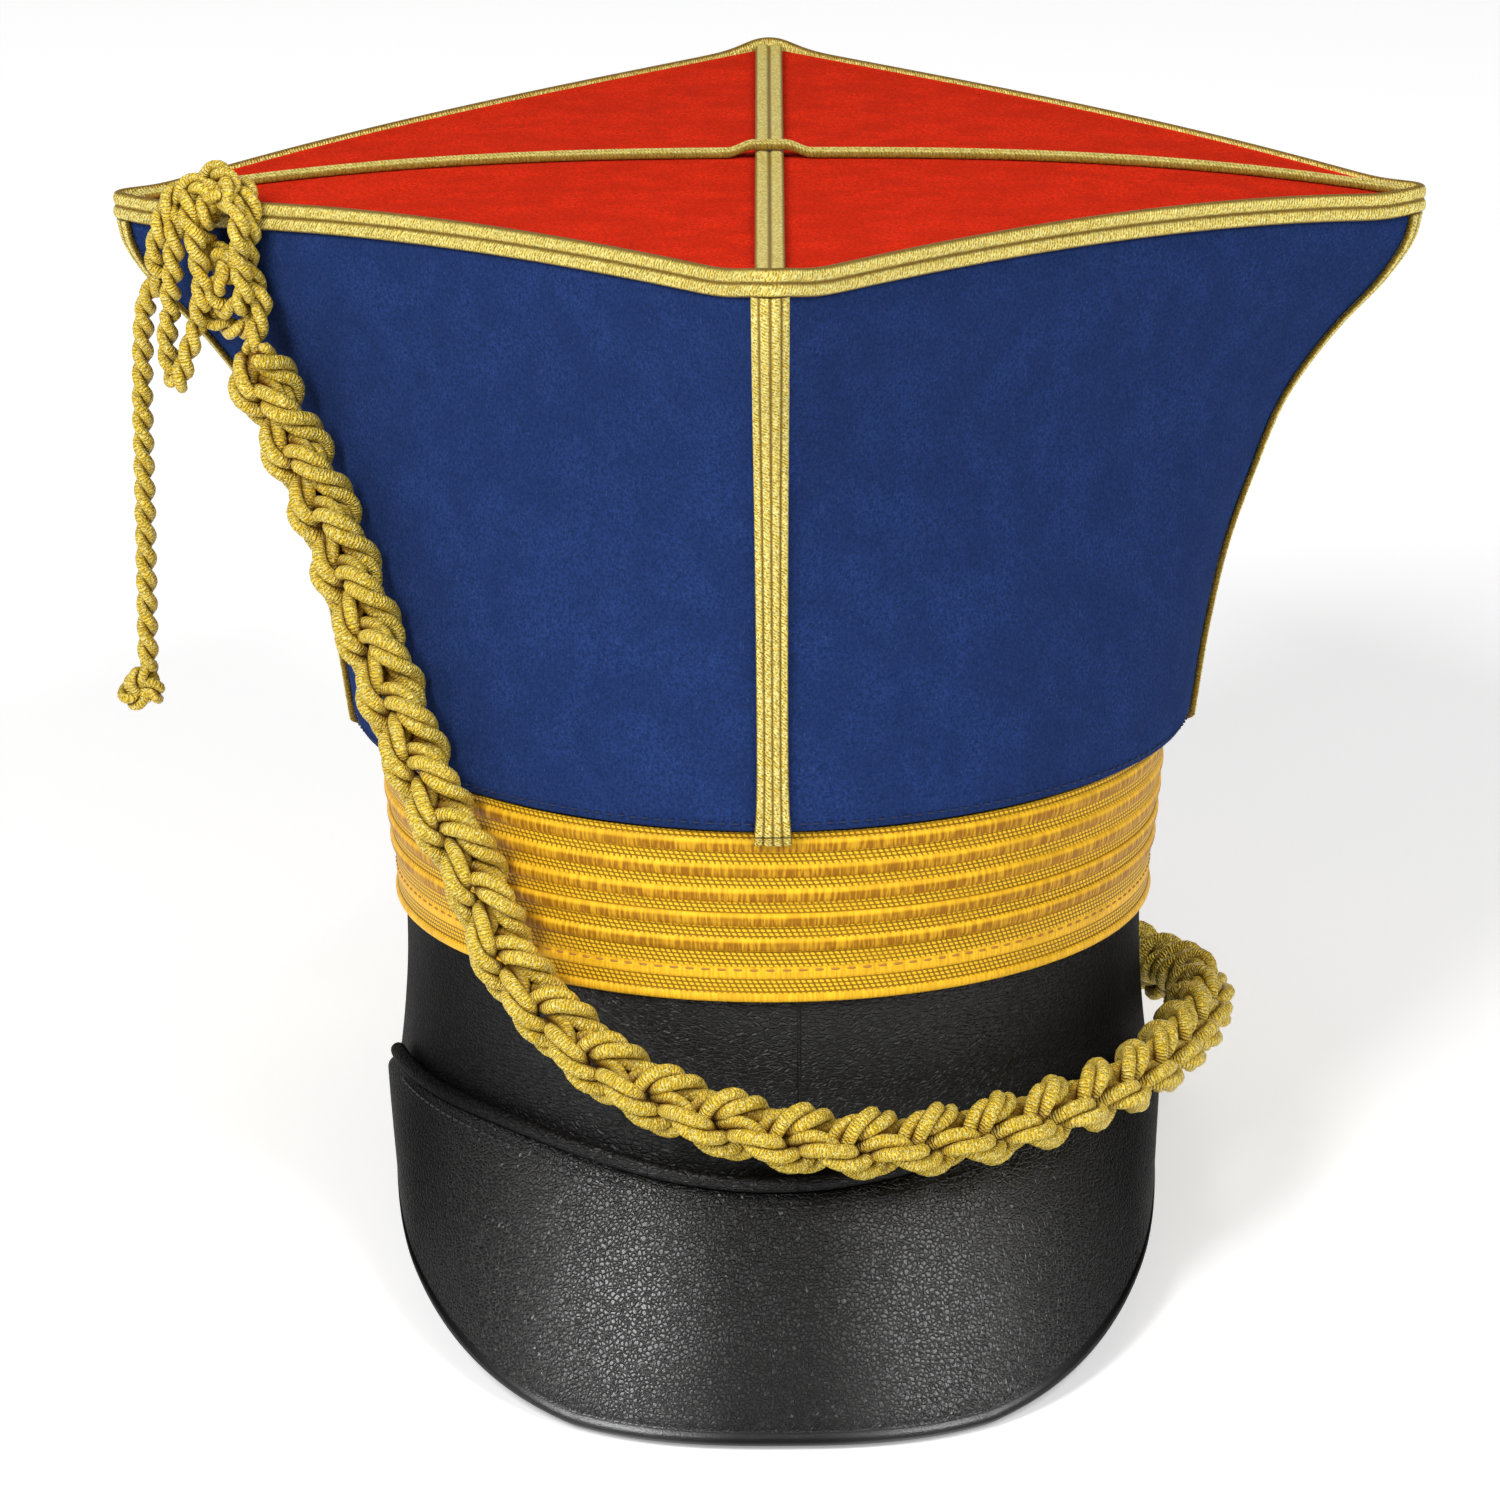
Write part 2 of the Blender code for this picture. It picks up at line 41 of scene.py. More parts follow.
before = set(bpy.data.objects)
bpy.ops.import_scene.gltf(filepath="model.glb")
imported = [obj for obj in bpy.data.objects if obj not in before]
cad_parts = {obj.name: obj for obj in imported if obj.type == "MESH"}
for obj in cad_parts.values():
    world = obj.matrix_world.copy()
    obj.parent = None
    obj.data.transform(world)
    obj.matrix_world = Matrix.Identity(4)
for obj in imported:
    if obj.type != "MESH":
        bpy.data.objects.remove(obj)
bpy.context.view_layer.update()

# Where the upright hat frame lies in the resting frame
TILT = math.radians(11.47211209)
SET_DOWN = np.array([0.0, -0.02354838, 0.02008799])

# Sizes of the solids
CLEARANCE = 0.0003
SKULL_WIDTH = 0.171
SKULL_DEPTH = 0.202
SKULL_HEIGHT = 0.0827
SKULL_WALL = 0.0025
SKULL_WAIST = 0.0031
SKULL_FLARE = 0.0008
WAIST_SHAPE = ((0.0, 0.0), (0.18, 0.62), (0.36, 0.97), (0.45, 1.0), (0.62, 0.86), (0.8, 0.42), (1.0, 0.0))
BAND_HEIGHT = 0.0385
BAND_THICKNESS = 0.0013
BODY_HEIGHT = 0.127
FOOT_WIDTH = 0.187
FOOT_DEPTH = 0.212
FOOT_TURN_IN = 0.009
TOP_DIAGONAL = 0.287
CLOTH_WALL = 0.0025
CORNER_SOFTNESS = 0.02
CORNER_SPREAD = ((0.0, 0.0), (0.19, 0.07), (0.35, 0.155), (0.48, 0.26), (0.65, 0.43), (0.77, 0.635),
                 (0.87, 0.85), (0.95, 0.97), (1.0, 1.0))
SECTION_POWER = ((0.0, 1.85), (0.2, 1.72), (0.5, 1.35), (0.8, 1.04), (1.0, 0.92))
TOP_THICKNESS = 0.0025
SIDE_DROOP = 0.0097
DROOP_POWER = 2.6
EDGE_BRAID_WIDTH = 0.006
EDGE_BRAID_THICKNESS = 0.0017
EDGE_BRAID_ABOVE = 0.001
CORNER_LIFT = 0.0018
CORNER_LIFT_REACH = 0.007
CROSS_BRAID_WIDTH = 0.0063
CROSS_BRAID_THICKNESS = 0.0015
CROSSING_RAMP = 0.006
CORNER_BRAID_WIDTH = 0.0066
CORNER_BRAID_THICKNESS = 0.0013
PEAK_LENGTH = 0.0548
PEAK_SLOPE = math.radians(60)
PEAK_THICKNESS = 0.0024
PEAK_BULGE = 0.0022
PEAK_WIDTH = 0.175
PEAK_ROOT_HEIGHT = 0.002
PEAK_ROOT_RISE = 0.007
PEAK_REACH = math.radians(79)
PEAK_FLAT_SHARE = 0.93
HORN_HEIGHT = 0.006
EDGE_REACH = math.radians(86.75)
EDGE_POWER = 2.65
PEAK_ASIDE = 0.0015
WELT_RADIUS = 0.0018
PLAIT_DIAMETER = 0.0155
PLAIT_ROUTE = (
    (-0.1135, -0.0308, 0.1722), (-0.1072, -0.0338, 0.1590), (-0.0992, -0.0408, 0.1435),
    (-0.0890, -0.0560, 0.1200), (-0.0790, -0.0702, 0.0960), (-0.0730, -0.0772, 0.0830),
    (-0.0640, -0.0835, 0.0675), (-0.0570, -0.0885, 0.0500), (-0.0470, -0.0950, 0.0390),
    (-0.0350, -0.1025, 0.0300), (-0.0200, -0.1085, 0.0235), (0.0000, -0.1115, 0.0180),
    (0.0240, -0.1085, 0.0150), (0.0450, -0.0995, 0.0150), (0.0620, -0.0870, 0.0160),
    (0.0790, -0.0660, 0.0170), (0.0906, -0.0380, 0.0180), (0.0962, -0.0120, 0.0185),
    (0.0962, 0.0070, 0.0175), (0.0926, 0.0270, 0.0140), (0.0870, 0.0430, 0.0125),
    (0.0725, 0.0695, 0.0125), (0.0510, 0.0915, 0.0130), (0.0230, 0.1065, 0.0140),
    (0.0000, 0.1095, 0.0150), (-0.0260, 0.1050, 0.0190), (-0.0440, 0.0950, 0.0290),
    (-0.0570, 0.0885, 0.0500), (-0.0640, 0.0835, 0.0675), (-0.0730, 0.0772, 0.0830),
    (-0.0790, 0.0702, 0.0960), (-0.0890, 0.0560, 0.1200), (-0.0990, 0.0405, 0.1435),
    (-0.1070, 0.0325, 0.1590), (-0.1134, 0.0299, 0.1740), (-0.1189, 0.0300, 0.1840))
CORD_DIAMETER = 0.005
CORD_ROUTE = ((-0.1334, -0.0219, 0.1878), (-0.1368, -0.0175, 0.1830), (-0.1381, -0.0140, 0.1770),
              (-0.1389, -0.0110, 0.1670), (-0.1397, -0.0040, 0.1320), (-0.1404, 0.0029, 0.0975))
LOOP_ROUTE = ((-0.1318, -0.0205, 0.1800), (-0.1328, -0.0180, 0.1740), (-0.1327, -0.0164, 0.1685),
              (-0.1318, -0.0170, 0.1645), (-0.1308, -0.0190, 0.1634), (-0.1297, -0.0211, 0.1648),
              (-0.1288, -0.0222, 0.1690), (-0.1272, -0.0230, 0.1733), (-0.1256, -0.0238, 0.1782))
KNOT_CENTRE = np.array([-0.1240, -0.0294, 0.1945])
KNOT_LEAN = math.radians(24)

BODY_FOOT = SKULL_HEIGHT + CLEARANCE
CROWN = BODY_FOOT + BODY_HEIGHT

# Finer work on the leather
SKULL_LIP = 0.0006
SKULL_SEAM = 0.0054
HORN_START = 0.72
HORN_TUCK = 0.03
ROLL_AT, ROLL_REACH, ROLL_RISE = 0.0014, 0.0011, 0.0003
FURROW_AT, FURROW_REACH, FURROW_DEPTH = 0.0031, 0.0003, 0.00025
EDGE_THIN, EDGE_THIN_FROM, EDGE_THIN_REACH = 0.55, 0.985, 0.015
PEAK_SEAM_SHARE = 0.052
PEAK_SEAM_OUT = 0.0005
PEAK_STITCH_GAP, PEAK_THREAD = 0.0009, 0.0003

# Finer work on the lace: places and reaches in shares of the band's height
RIB_PERIOD = 0.146
FIRST_RIB = 0.922
LAST_RIB = 0.338
LACE_SEAM = 0.185
LACE_HEM_AT, LACE_HEM_REACH = 0.026, 0.028
RIDGE_AT, RIDGE_REACH, RIDGE_RISE = 0.16, 0.02, 0.3
LOW_TWILL = (0.05, 0.135, 0.205)
# On one rib: half widths in shares of the period, and the satin's rise in shares of rib_rise
RIB_HALF = 0.29
RIB_TWILL_HALF = 0.27
RIB_CREST = 1.25
# Where the painted shade on a rib's lower side starts, how fast it comes in, and the least satin it needs
SHADE_BELOW, SHADE_FADE, SHADE_LEAST = 0.66, 0.1, 0.15
# The twill's dots and the stitches, in metres
TWILL_DOT = 0.0013
TWILL_ROW = 0.0009
LACE_STITCH_GAP, LACE_THREAD = 0.0014, 0.00025

# Finer work on the cloth and the braids; the fold's rows hold inset and rise outside, then
# inside, in wall thicknesses
FOOT_FOLD = ((1.6, 0, 1.7, 1), (0.9, 0, 1.25, 1), (0.5, 0.1, 1.15, 1.03), (0.25, 0.25, 1.08, 1.08),
             (0.1, 0.5, 1.03, 1.15), (0, 0.9, 1, 1.25))
HEM_SEAM_RISE = 0.0022
HEM_SEAM_LEVEL, HEM_SEAM_OUT = 0.015, 0.0001
HEM_STITCH_GAP, HEM_THREAD = 0.0012, 0.0002
BRAID_PITCH = 0.0008
BRAID_TAIL = (0.0026, 0.0019, 0.0012, 0.0005, 0.0)
TAIL_STEP_START, TAIL_STEP_RUN = 0.0003, 0.0016
TAIL_FLARE, TAIL_FLARE_REACH = 0.28, 0.006

# Finer work on the cords
PLAIT_STEP = 0.0011
PLAIT_PERIOD = 0.0450
PLAIT_STRAND = 0.0068
PLAIT_PLY_RADIUS = 0.0016
PLAIT_TWIST = 0.0200
PLAIT_TURN = math.radians(35)
PLAIT_SWING, PLAIT_SWING_CUT = 1.12, 0.12
PLAIT_DEPTH = 0.82
PLAIT_CROWN = 0.42
PLY_DIAMETER = 0.0026
PLY_TWIST = 0.0112
PLY_END = 0.55
GIMP_PITCH = 0.00062
CORD_STEP = 0.0009
END_KNOT_CORD = 0.0044
END_KNOT_DROP = 0.0088
END_KNOT_HIGH = 0.00148
END_KNOT_WIDE = 0.00128
END_KNOT_DEEP = 0.0017
END_KNOT_LEAN = 0.17

# The camera, from the fit of the photo
PHOTO_PIXELS = 1500
FOCAL_PIXELS = 8242
SHIFT_PIXELS = -22.5
SENSOR = 36
CAMERA_PLACE = (0.0, -1.6814, 0.9013)
CAMERA_PITCH = math.radians(64.21)
CAMERA_ROLL = math.radians(-0.3)

# Paths of the corner knot's looped cords, in millimetres: along the panel, up and out
KNOT_STRANDS = (
    ((-12.0, -5.5, 3.9), (-13.1, -2.2, 3.2), (-11.1, 2.1, 3.0), (-8.9, 6.4, 1.8), (-7.4, 10.3, -0.6),
     (-6.6, 12.3, -3.0), (-4.8, 13.4, -5.0), (-1.5, 14.0, -6.0), (2.0, 13.1, -5.0), (3.5, 10.7, -3.4),
     (1.6, 6.9, -2.4), (-1.3, 1.7, -3.4)),
    ((-11.6, -13.5, 5.2), (-9.3, -7.9, 4.8), (-7.0, -3.1, 4.0), (-5.5, 1.4, 3.0), (-4.8, 5.5, 1.4),
     (-6.2, 8.4, -1.4), (-7.3, 10.0, -5.2), (-6.5, 10.8, -7.6), (-4.0, 9.8, -8.0), (-1.1, 7.9, -6.8),
     (0.9, 4.9, -5.4)),
    ((-5.0, -15.8, 4.0), (-1.3, -9.9, 3.8), (0.7, -4.9, 3.0), (0.7, -0.8, 2.0), (1.5, 3.7, 1.6),
     (0.4, 8.3, 0.2), (-1.1, 11.1, -1.6), (-2.7, 12.1, -4.6), (-3.3, 12.1, -7.8)),
    ((-4.7, 10.6, -10.0), (-3.7, 12.7, -11.0), (-0.4, 14.2, -11.5), (4.4, 14.4, -9.8), (9.2, 14.1, -6.8),
     (8.7, 12.5, -4.6), (5.0, 12.5, -5.0), (1.5, 13.1, -7.4)),
    ((1.6, 10.5, -7.4), (8.0, 11.3, -6.0), (12.0, 10.1, -4.0), (13.1, 6.1, -2.0), (11.3, 0.5, -1.4),
     (10.9, -4.2, -0.2), (10.6, -8.3, 0.8), (6.2, -12.3, 1.0), (1.8, -12.7, 1.4), (1.2, -9.6, 1.6),
     (3.8, -6.3, 1.2), (6.1, -4.9, -0.4), (6.2, -3.0, -2.8)),
    ((-0.8, 8.9, -13.5), (4.0, 9.8, -13.0), (10.4, 10.1, -9.8), (12.0, 6.5, -7.2), (10.6, 1.5, -5.8),
     (9.0, -3.7, -4.6), (9.7, -7.6, -3.6), (11.5, -10.8, -2.6), (11.0, -14.7, -1.2), (10.5, -17.6, 1.0),
     (10.4, -20.0, 3.0), (8.8, -22.5, 3.2)),
    ((-3.5, -14.5, 1.6), (-2.5, -17.3, 1.4), (0.8, -18.6, 1.0), (5.0, -18.7, 1.0), (6.8, -17.1, -0.6),
     (5.9, -14.5, -2.8), (5.5, -10.8, -3.6)),
    ((-1.9, 1.8, -4.0), (-0.6, -1.4, -2.8), (3.9, -0.5, -2.4), (5.7, -2.3, -2.0), (2.9, -4.7, -1.4),
     (-1.0, -4.2, -2.2), (-4.0, -2.6, -4.6)))


# Smooth curves and the shapes shared with the solids

def through(table, place):
    """Smooth curve through a short table of (place, value), read at one place or many."""
    places, values = np.array(table).T
    slopes = np.gradient(values, places)
    place = np.clip(place, places[0], places[-1])
    span = np.clip(np.searchsorted(places, place, side="right") - 1, 0, len(places) - 2)
    width = places[span + 1] - places[span]
    s = (place - places[span]) / width
    start = (1 + 2 * s) * (1 - s) ** 2 * values[span] + s * (1 - s) ** 2 * width * slopes[span]
    end = s ** 2 * (3 - 2 * s) * values[span + 1] + s ** 2 * (s - 1) * width * slopes[span + 1]
    return start + end


def points_at(x, y, z):
    """Points from their coordinates, each a number or an array that broadcasts with the others."""
    return np.stack(np.broadcast_arrays(x, y, z), axis=-1)


def round_turn(count):
    """Angles at an even spacing over one whole turn."""
    return np.linspace(0, 2 * np.pi, count, endpoint=False)


def skull_point(angle, height, outside=0.0):
    """Point on the skull's oval: half axes grown by the flare and drawn in by the waist."""
    share = height / SKULL_HEIGHT
    offset = outside + SKULL_FLARE * share - SKULL_WAIST * through(WAIST_SHAPE, share)
    return points_at((SKULL_WIDTH / 2 + offset) * np.cos(angle),
                     (SKULL_DEPTH / 2 + offset) * np.sin(angle), height)


def body_plan(angle, level, inset=0.0):
    """Plan of the body: a superellipse whose power falls and whose reach grows with the level."""
    spread = through(CORNER_SPREAD, level)
    across = FOOT_WIDTH / 2 + (TOP_DIAGONAL - FOOT_WIDTH) / 2 * spread - inset
    along = FOOT_DEPTH / 2 + (TOP_DIAGONAL - FOOT_DEPTH) / 2 * spread - inset
    power = through(SECTION_POWER, level)
    cosine = np.hypot(np.cos(angle), CORNER_SOFTNESS)
    sine = np.hypot(np.sin(angle), CORNER_SOFTNESS)
    reach = ((cosine / across) ** power + (sine / along) ** power) ** (-1 / power)
    softened = ((1 + CORNER_SOFTNESS ** 2) ** (power / 2) + CORNER_SOFTNESS ** power) ** (1 / power)
    return reach * softened * np.cos(angle), reach * softened * np.sin(angle)


def outside_body(angle, level, offset, height):
    """Point at a distance outside the body's section, along the section's normal, and at a height."""
    step = 0.002
    x, y = body_plan(angle, level)
    ahead = np.array(body_plan(angle + step, level))
    behind = np.array(body_plan(angle - step, level))
    along = (ahead - behind) / np.linalg.norm(ahead - behind, axis=0)
    return points_at(x + offset * along[1], y - offset * along[0], height)


def top_height(x):
    """Height of the top cloth: the crown less the droop times a power of the reach from the middle."""
    share = np.clip(np.abs(x) / (TOP_DIAGONAL / 2), 0, 1)
    return CROWN - SIDE_DROOP * share ** DROOP_POWER


def body_height(angle, level):
    """Height at a level of the body, whose top edge follows the underside of the top cloth."""
    x, _ = body_plan(angle, 1.0)
    rim = top_height(x) - TOP_THICKNESS - CLEARANCE
    return BODY_FOOT + (rim - BODY_FOOT) * level


def corner_angles(turns):
    """Plan angles for turns counted in quarters, drawn together towards the four corners."""
    corner = np.floor(turns)
    share = turns - corner
    eased = 0.5 - 0.5 * np.cos(np.pi * share)
    return (corner + eased) * math.pi / 2


def peak_root(share, outside):
    """Point of the peak's root round the skull; share runs from -1 to 1 between the horns."""
    turned = share * PEAK_REACH
    rise = np.sin(np.clip(np.abs(turned) * 1.8, 0, math.pi / 2)) ** 2
    return skull_point(turned - math.pi / 2, PEAK_ROOT_HEIGHT + PEAK_ROOT_RISE * rise, outside)


def peak_edge(share):
    """Point of the peak's edge: a superellipse in plan, flat to the ground in front."""
    reach = SKULL_DEPTH / 2 + CLEARANCE + PEAK_THICKNESS + PEAK_LENGTH * math.cos(PEAK_SLOPE)
    drop = PEAK_LENGTH * math.sin(PEAK_SLOPE) - PEAK_ROOT_HEIGHT
    turned = share * EDGE_REACH
    x = PEAK_WIDTH / 2 * np.sign(turned) * np.abs(np.sin(turned)) ** (2 / EDGE_POWER)
    x = x + PEAK_ASIDE * np.cos(turned)
    y = -reach * np.abs(np.cos(turned)) ** (2 / EDGE_POWER)
    ground = (y - SKULL_DEPTH / 2) * drop / (reach + SKULL_DEPTH / 2)
    horn_lift = HORN_HEIGHT + SKULL_DEPTH / 2 * drop / (reach + SKULL_DEPTH / 2)
    flat = PEAK_FLAT_SHARE * reach
    return points_at(x, y, ground + horn_lift * np.clip((y + flat) / flat, 0, 1))


def running_length(points, closed=False):
    """Distance along a line of points, with the closing step added where it is closed."""
    if closed:
        points = np.concatenate([points, points[:1]])
    return np.concatenate([[0], np.cumsum(np.linalg.norm(np.diff(points, axis=0), axis=-1))])


def unit(vectors):
    """Vectors scaled to length one."""
    return vectors / np.maximum(np.linalg.norm(vectors, axis=-1, keepdims=True), 1e-12)


def smooth_route(points, spacing):
    """Points at an even spacing along a smooth curve through a cord's own points."""
    points = np.array(points, float)
    places = running_length(points)
    fine = np.linspace(0, places[-1], 40 * len(points))
    curve = np.stack([through(np.stack([places, axis], axis=1), fine) for axis in points.T], axis=1)
    run = running_length(curve)
    count = max(3, round(run[-1] / spacing))
    return np.stack([np.interp(np.linspace(0, run[-1], count + 1), run, axis) for axis in curve.T], axis=1)


# Meshes

def to_rest(points):
    """Points of the upright hat frame, tilted back about X and set down."""
    x, y, z = np.moveaxis(np.asarray(points, float), -1, 0)
    c, s = math.cos(TILT), math.sin(TILT)
    return points_at(x, y * c + z * s, z * c - y * s) + SET_DOWN


def finish_mesh(name, points, faces, corner_uv, look, replaced=()):
    """Mesh piece from points in the hat's frame, turned to face outwards, on the body."""
    points = to_rest(points)
    quads = np.array([f for f in faces if len(f) == 4]) if not isinstance(faces, np.ndarray) else faces
    a, b, c, d = (points[quads[:, k]] for k in range(4))
    volume = np.einsum("ij,ij->", (a + b + c + d) / 4, np.cross(c - a, d - b))
    faces = faces.tolist() if isinstance(faces, np.ndarray) else faces
    if volume < 0:
        faces = [face[::-1] for face in faces]
        corner_uv = [corners[::-1] for corners in corner_uv]
    mesh = bpy.data.meshes.new(name)
    mesh.from_pydata(points.tolist(), [], faces)
    layer = mesh.uv_layers.new(name="UVMap")
    layer.data.foreach_set("uv", np.concatenate([np.asarray(corners) for corners in corner_uv]).ravel())
    mesh.update()
    mesh.shade_smooth()
    mesh.materials.append(look)
    piece = bpy.data.objects.new(name, mesh)
    bpy.context.scene.collection.objects.link(piece)
    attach(piece, "root")
    if replaced:
        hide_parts(*replaced)
    return piece


def mark_points(piece, word, values):
    """Stores a number on each point of a piece for its material to read."""
    piece.data.attributes.new(word, "FLOAT", "POINT").data.foreach_set("value", values.astype(np.float32))


def grid_faces(rows, columns, closed_rows, closed_columns, first=0):
    """Quads of a grid of points, wrapped round where a direction is closed."""
    row = np.arange(rows if closed_rows else rows - 1)[:, None]
    column = np.arange(columns if closed_columns else columns - 1)[None, :]
    after_row, after_column = (row + 1) % rows, (column + 1) % columns
    quads = np.stack(np.broadcast_arrays(
        row * columns + column, after_row * columns + column,
        after_row * columns + after_column, row * columns + after_column), axis=-1)
    corner = np.stack(np.broadcast_arrays(row, column), axis=-1)
    places = np.stack([corner, corner + [1, 0], corner + [1, 1], corner + [0, 1]], axis=-2)
    return quads.reshape(-1, 4) + first, places.reshape(-1, 4, 2)


def end_caps(rows, columns, first=0):
    """Faces that close the first and the last row of a grid whose rows are closed rings."""
    last = first + rows * columns - 1
    return [list(range(first, first + columns)), list(range(last, last - columns, -1))]


def carried_profile(name, grid, along, across, look, replaced=(), closed=True):
    """Closed profile carried along a path: grid[path, profile]; open paths get end caps.

    along and across are the running lengths at the path's and the profile's points, one longer
    than the grid where the direction is closed.
    """
    rows, columns = grid.shape[:2]
    quads, places = grid_faces(rows, columns, closed, True)
    uv = np.stack([along[places[..., 0]], across[places[..., 1]]], axis=-1)
    if closed:
        return finish_mesh(name, grid.reshape(-1, 3), quads, uv, look, replaced)
    cap_uv = [np.stack([np.full(columns, along[0]), across[:columns]], axis=-1),
              np.stack([np.full(columns, along[-1]), across[:columns][::-1]], axis=-1)]
    faces = quads.tolist() + end_caps(rows, columns)
    return finish_mesh(name, grid.reshape(-1, 3), faces, list(uv) + cap_uv, look, replaced)


def walled(outer, inner):
    """Closed profile grid from an outer and an inner grid with the same path."""
    return np.concatenate([outer, inner[:, ::-1]], axis=1)


def carried_frame(line):
    """Unit tangent and two normals along a line, with as little twist as the line allows."""
    tangent = unit(np.gradient(line, axis=0))
    normal = np.empty_like(tangent)
    start = np.cross(tangent[0], [0.3, 0.5, 0.8])
    normal[0] = start / np.linalg.norm(start)
    for k in range(1, len(line)):
        leaned = normal[k - 1] - tangent[k] * np.dot(normal[k - 1], tangent[k])
        normal[k] = leaned / np.linalg.norm(leaned)
    return tangent, normal, np.cross(tangent, normal)


def ring_about(centre, normal, side, radius, turned):
    """Ring of points round each centre: radius times (normal cos + side sin) of the turned angles."""
    return centre[..., None, :] + radius * (normal[..., None, :] * np.cos(turned)[:, None]
                                            + side[..., None, :] * np.sin(turned)[:, None])


def ply_tubes(line, radius, offset, twist, sides, plies=2, start=0.0):
    """Plies laid round a line: each a round tube on a left-handed helix of the given twist length."""
    _, normal, side = carried_frame(line)
    length = running_length(line)
    points, quads, uvs, first = [], [], [], 0
    turned = round_turn(sides)
    for ply in range(plies):
        phase = start + 2 * np.pi * ply / plies - 2 * np.pi * length / twist
        centre = line + offset * (normal * np.cos(phase)[:, None] + side * np.sin(phase)[:, None])
        _, ply_normal, ply_side = carried_frame(centre)
        size = np.full((len(line), 1, 1), radius)
        size[[0, -1]] *= PLY_END
        ring = ring_about(centre, ply_normal, ply_side, size, turned)
        faces, places = grid_faces(len(line), sides, False, True, first)
        run = running_length(centre)
        round_it = np.linspace(0, 1, sides + 1)
        points.append(ring.reshape(-1, 3))
        quads += faces.tolist()
        uvs += list(np.stack([run[places[..., 0]], round_it[places[..., 1]]], axis=-1))
        quads += end_caps(len(line), sides, first)
        uvs += [np.zeros((sides, 2)), np.full((sides, 2), run[-1])]
        first += len(line) * sides
    points = np.concatenate(points)
    depth = np.linalg.norm(points.reshape(plies, len(line), sides, 3) - line[None, :, None], axis=-1)
    return points, quads, uvs, (depth / (offset + radius)).ravel()


def joined_tubes(name, tubes, look, replaced):
    """One piece of several cords' plies, each marked with how far its points stand out of the cord."""
    points, quads, uvs, crowns, first = [], [], [], [], 0
    for tube, faces, uv, crown in tubes:
        points.append(tube)
        crowns.append(crown)
        quads += [[index + first for index in face] for face in faces]
        uvs += uv
        first += len(tube)
    piece = finish_mesh(name, np.concatenate(points), quads, uvs, look, replaced)
    mark_points(piece, "crown", np.concatenate(crowns))
    return piece


def cord_piece(name, lines, look, replaced, sides=8, diameter=CORD_DIAMETER):
    """Two-ply twisted cords, one along each line of points in the hat's frame."""
    share = diameter / CORD_DIAMETER
    radius = PLY_DIAMETER / 2 * share
    tubes = [ply_tubes(line, radius, diameter / 2 - radius, PLY_TWIST * share, sides) for line in lines]
    return joined_tubes(name, tubes, look, replaced)


def overhand(top, plumb):
    """Line of a tight overhand knot below a cord's end.

    It is a trefoil: sin t + 2 sin 2t across, cos t - 2 cos 2t down the plumb line and sin 3t in
    depth, sheared to one side.
    """
    t = np.linspace(np.pi, 3 * np.pi, 150)
    down = END_KNOT_DROP + END_KNOT_HIGH * (np.cos(t) - 2 * np.cos(2 * t))
    wide = END_KNOT_WIDE * (np.sin(t) + 2 * np.sin(2 * t)) - END_KNOT_LEAN * down
    deep = END_KNOT_DEEP * np.sin(3 * t)
    across = np.array([1, 0, 0])
    return top + np.outer(down, plumb) + np.outer(wide, across) + np.outer(deep, np.cross(plumb, across))


def stitches(name, line, length, gap, radius, look):
    """Running stitches: short spindles of thread along a line, each a small closed tube.

    A spindle has five rings of six points, whose widths and lifts off the cloth are tables in
    shares of the thread's radius.
    """
    rings, sides = 5, 6
    run = running_length(line)
    count = int(run[-1] // (length + gap))
    starts = (np.arange(count) + 0.5) * run[-1] / count - length / 2
    shares = np.array([0.0, 0.12, 0.5, 0.88, 1.0])
    widths = np.array([0.25, 0.8, 1.0, 0.8, 0.25])
    lifts = np.array([-0.6, 0.2, 0.5, 0.2, -0.6])
    at = starts[:, None] + shares * length
    tangent, _, _ = carried_frame(line)
    centre = np.stack([np.interp(at, run, axis) for axis in line.T], axis=-1)
    ahead = unit(np.stack([np.interp(at, run, axis) for axis in tangent.T], axis=-1))
    out = centre * [1, 1, 0]
    out = unit(out - ahead * np.sum(out * ahead, axis=-1, keepdims=True))
    side = np.cross(ahead, out)
    centre = centre + out * (lifts * radius)[None, :, None]
    turned = round_turn(sides)
    ring = ring_about(centre, out, side, radius * widths[:, None, None], turned)
    faces, places = grid_faces(rings, sides, False, True)
    total = rings * sides
    one = faces.tolist() + end_caps(rings, sides)
    one_uv = [np.stack([p[:, 0] * 0.001, p[:, 1] / sides], axis=-1) for p in places]
    one_uv += [np.zeros((sides, 2))] * 2
    all_faces = [[index + total * k for index in face] for k in range(count) for face in one]
    return finish_mesh(name, ring.reshape(-1, 3), all_faces, one_uv * count, look)


# Materials

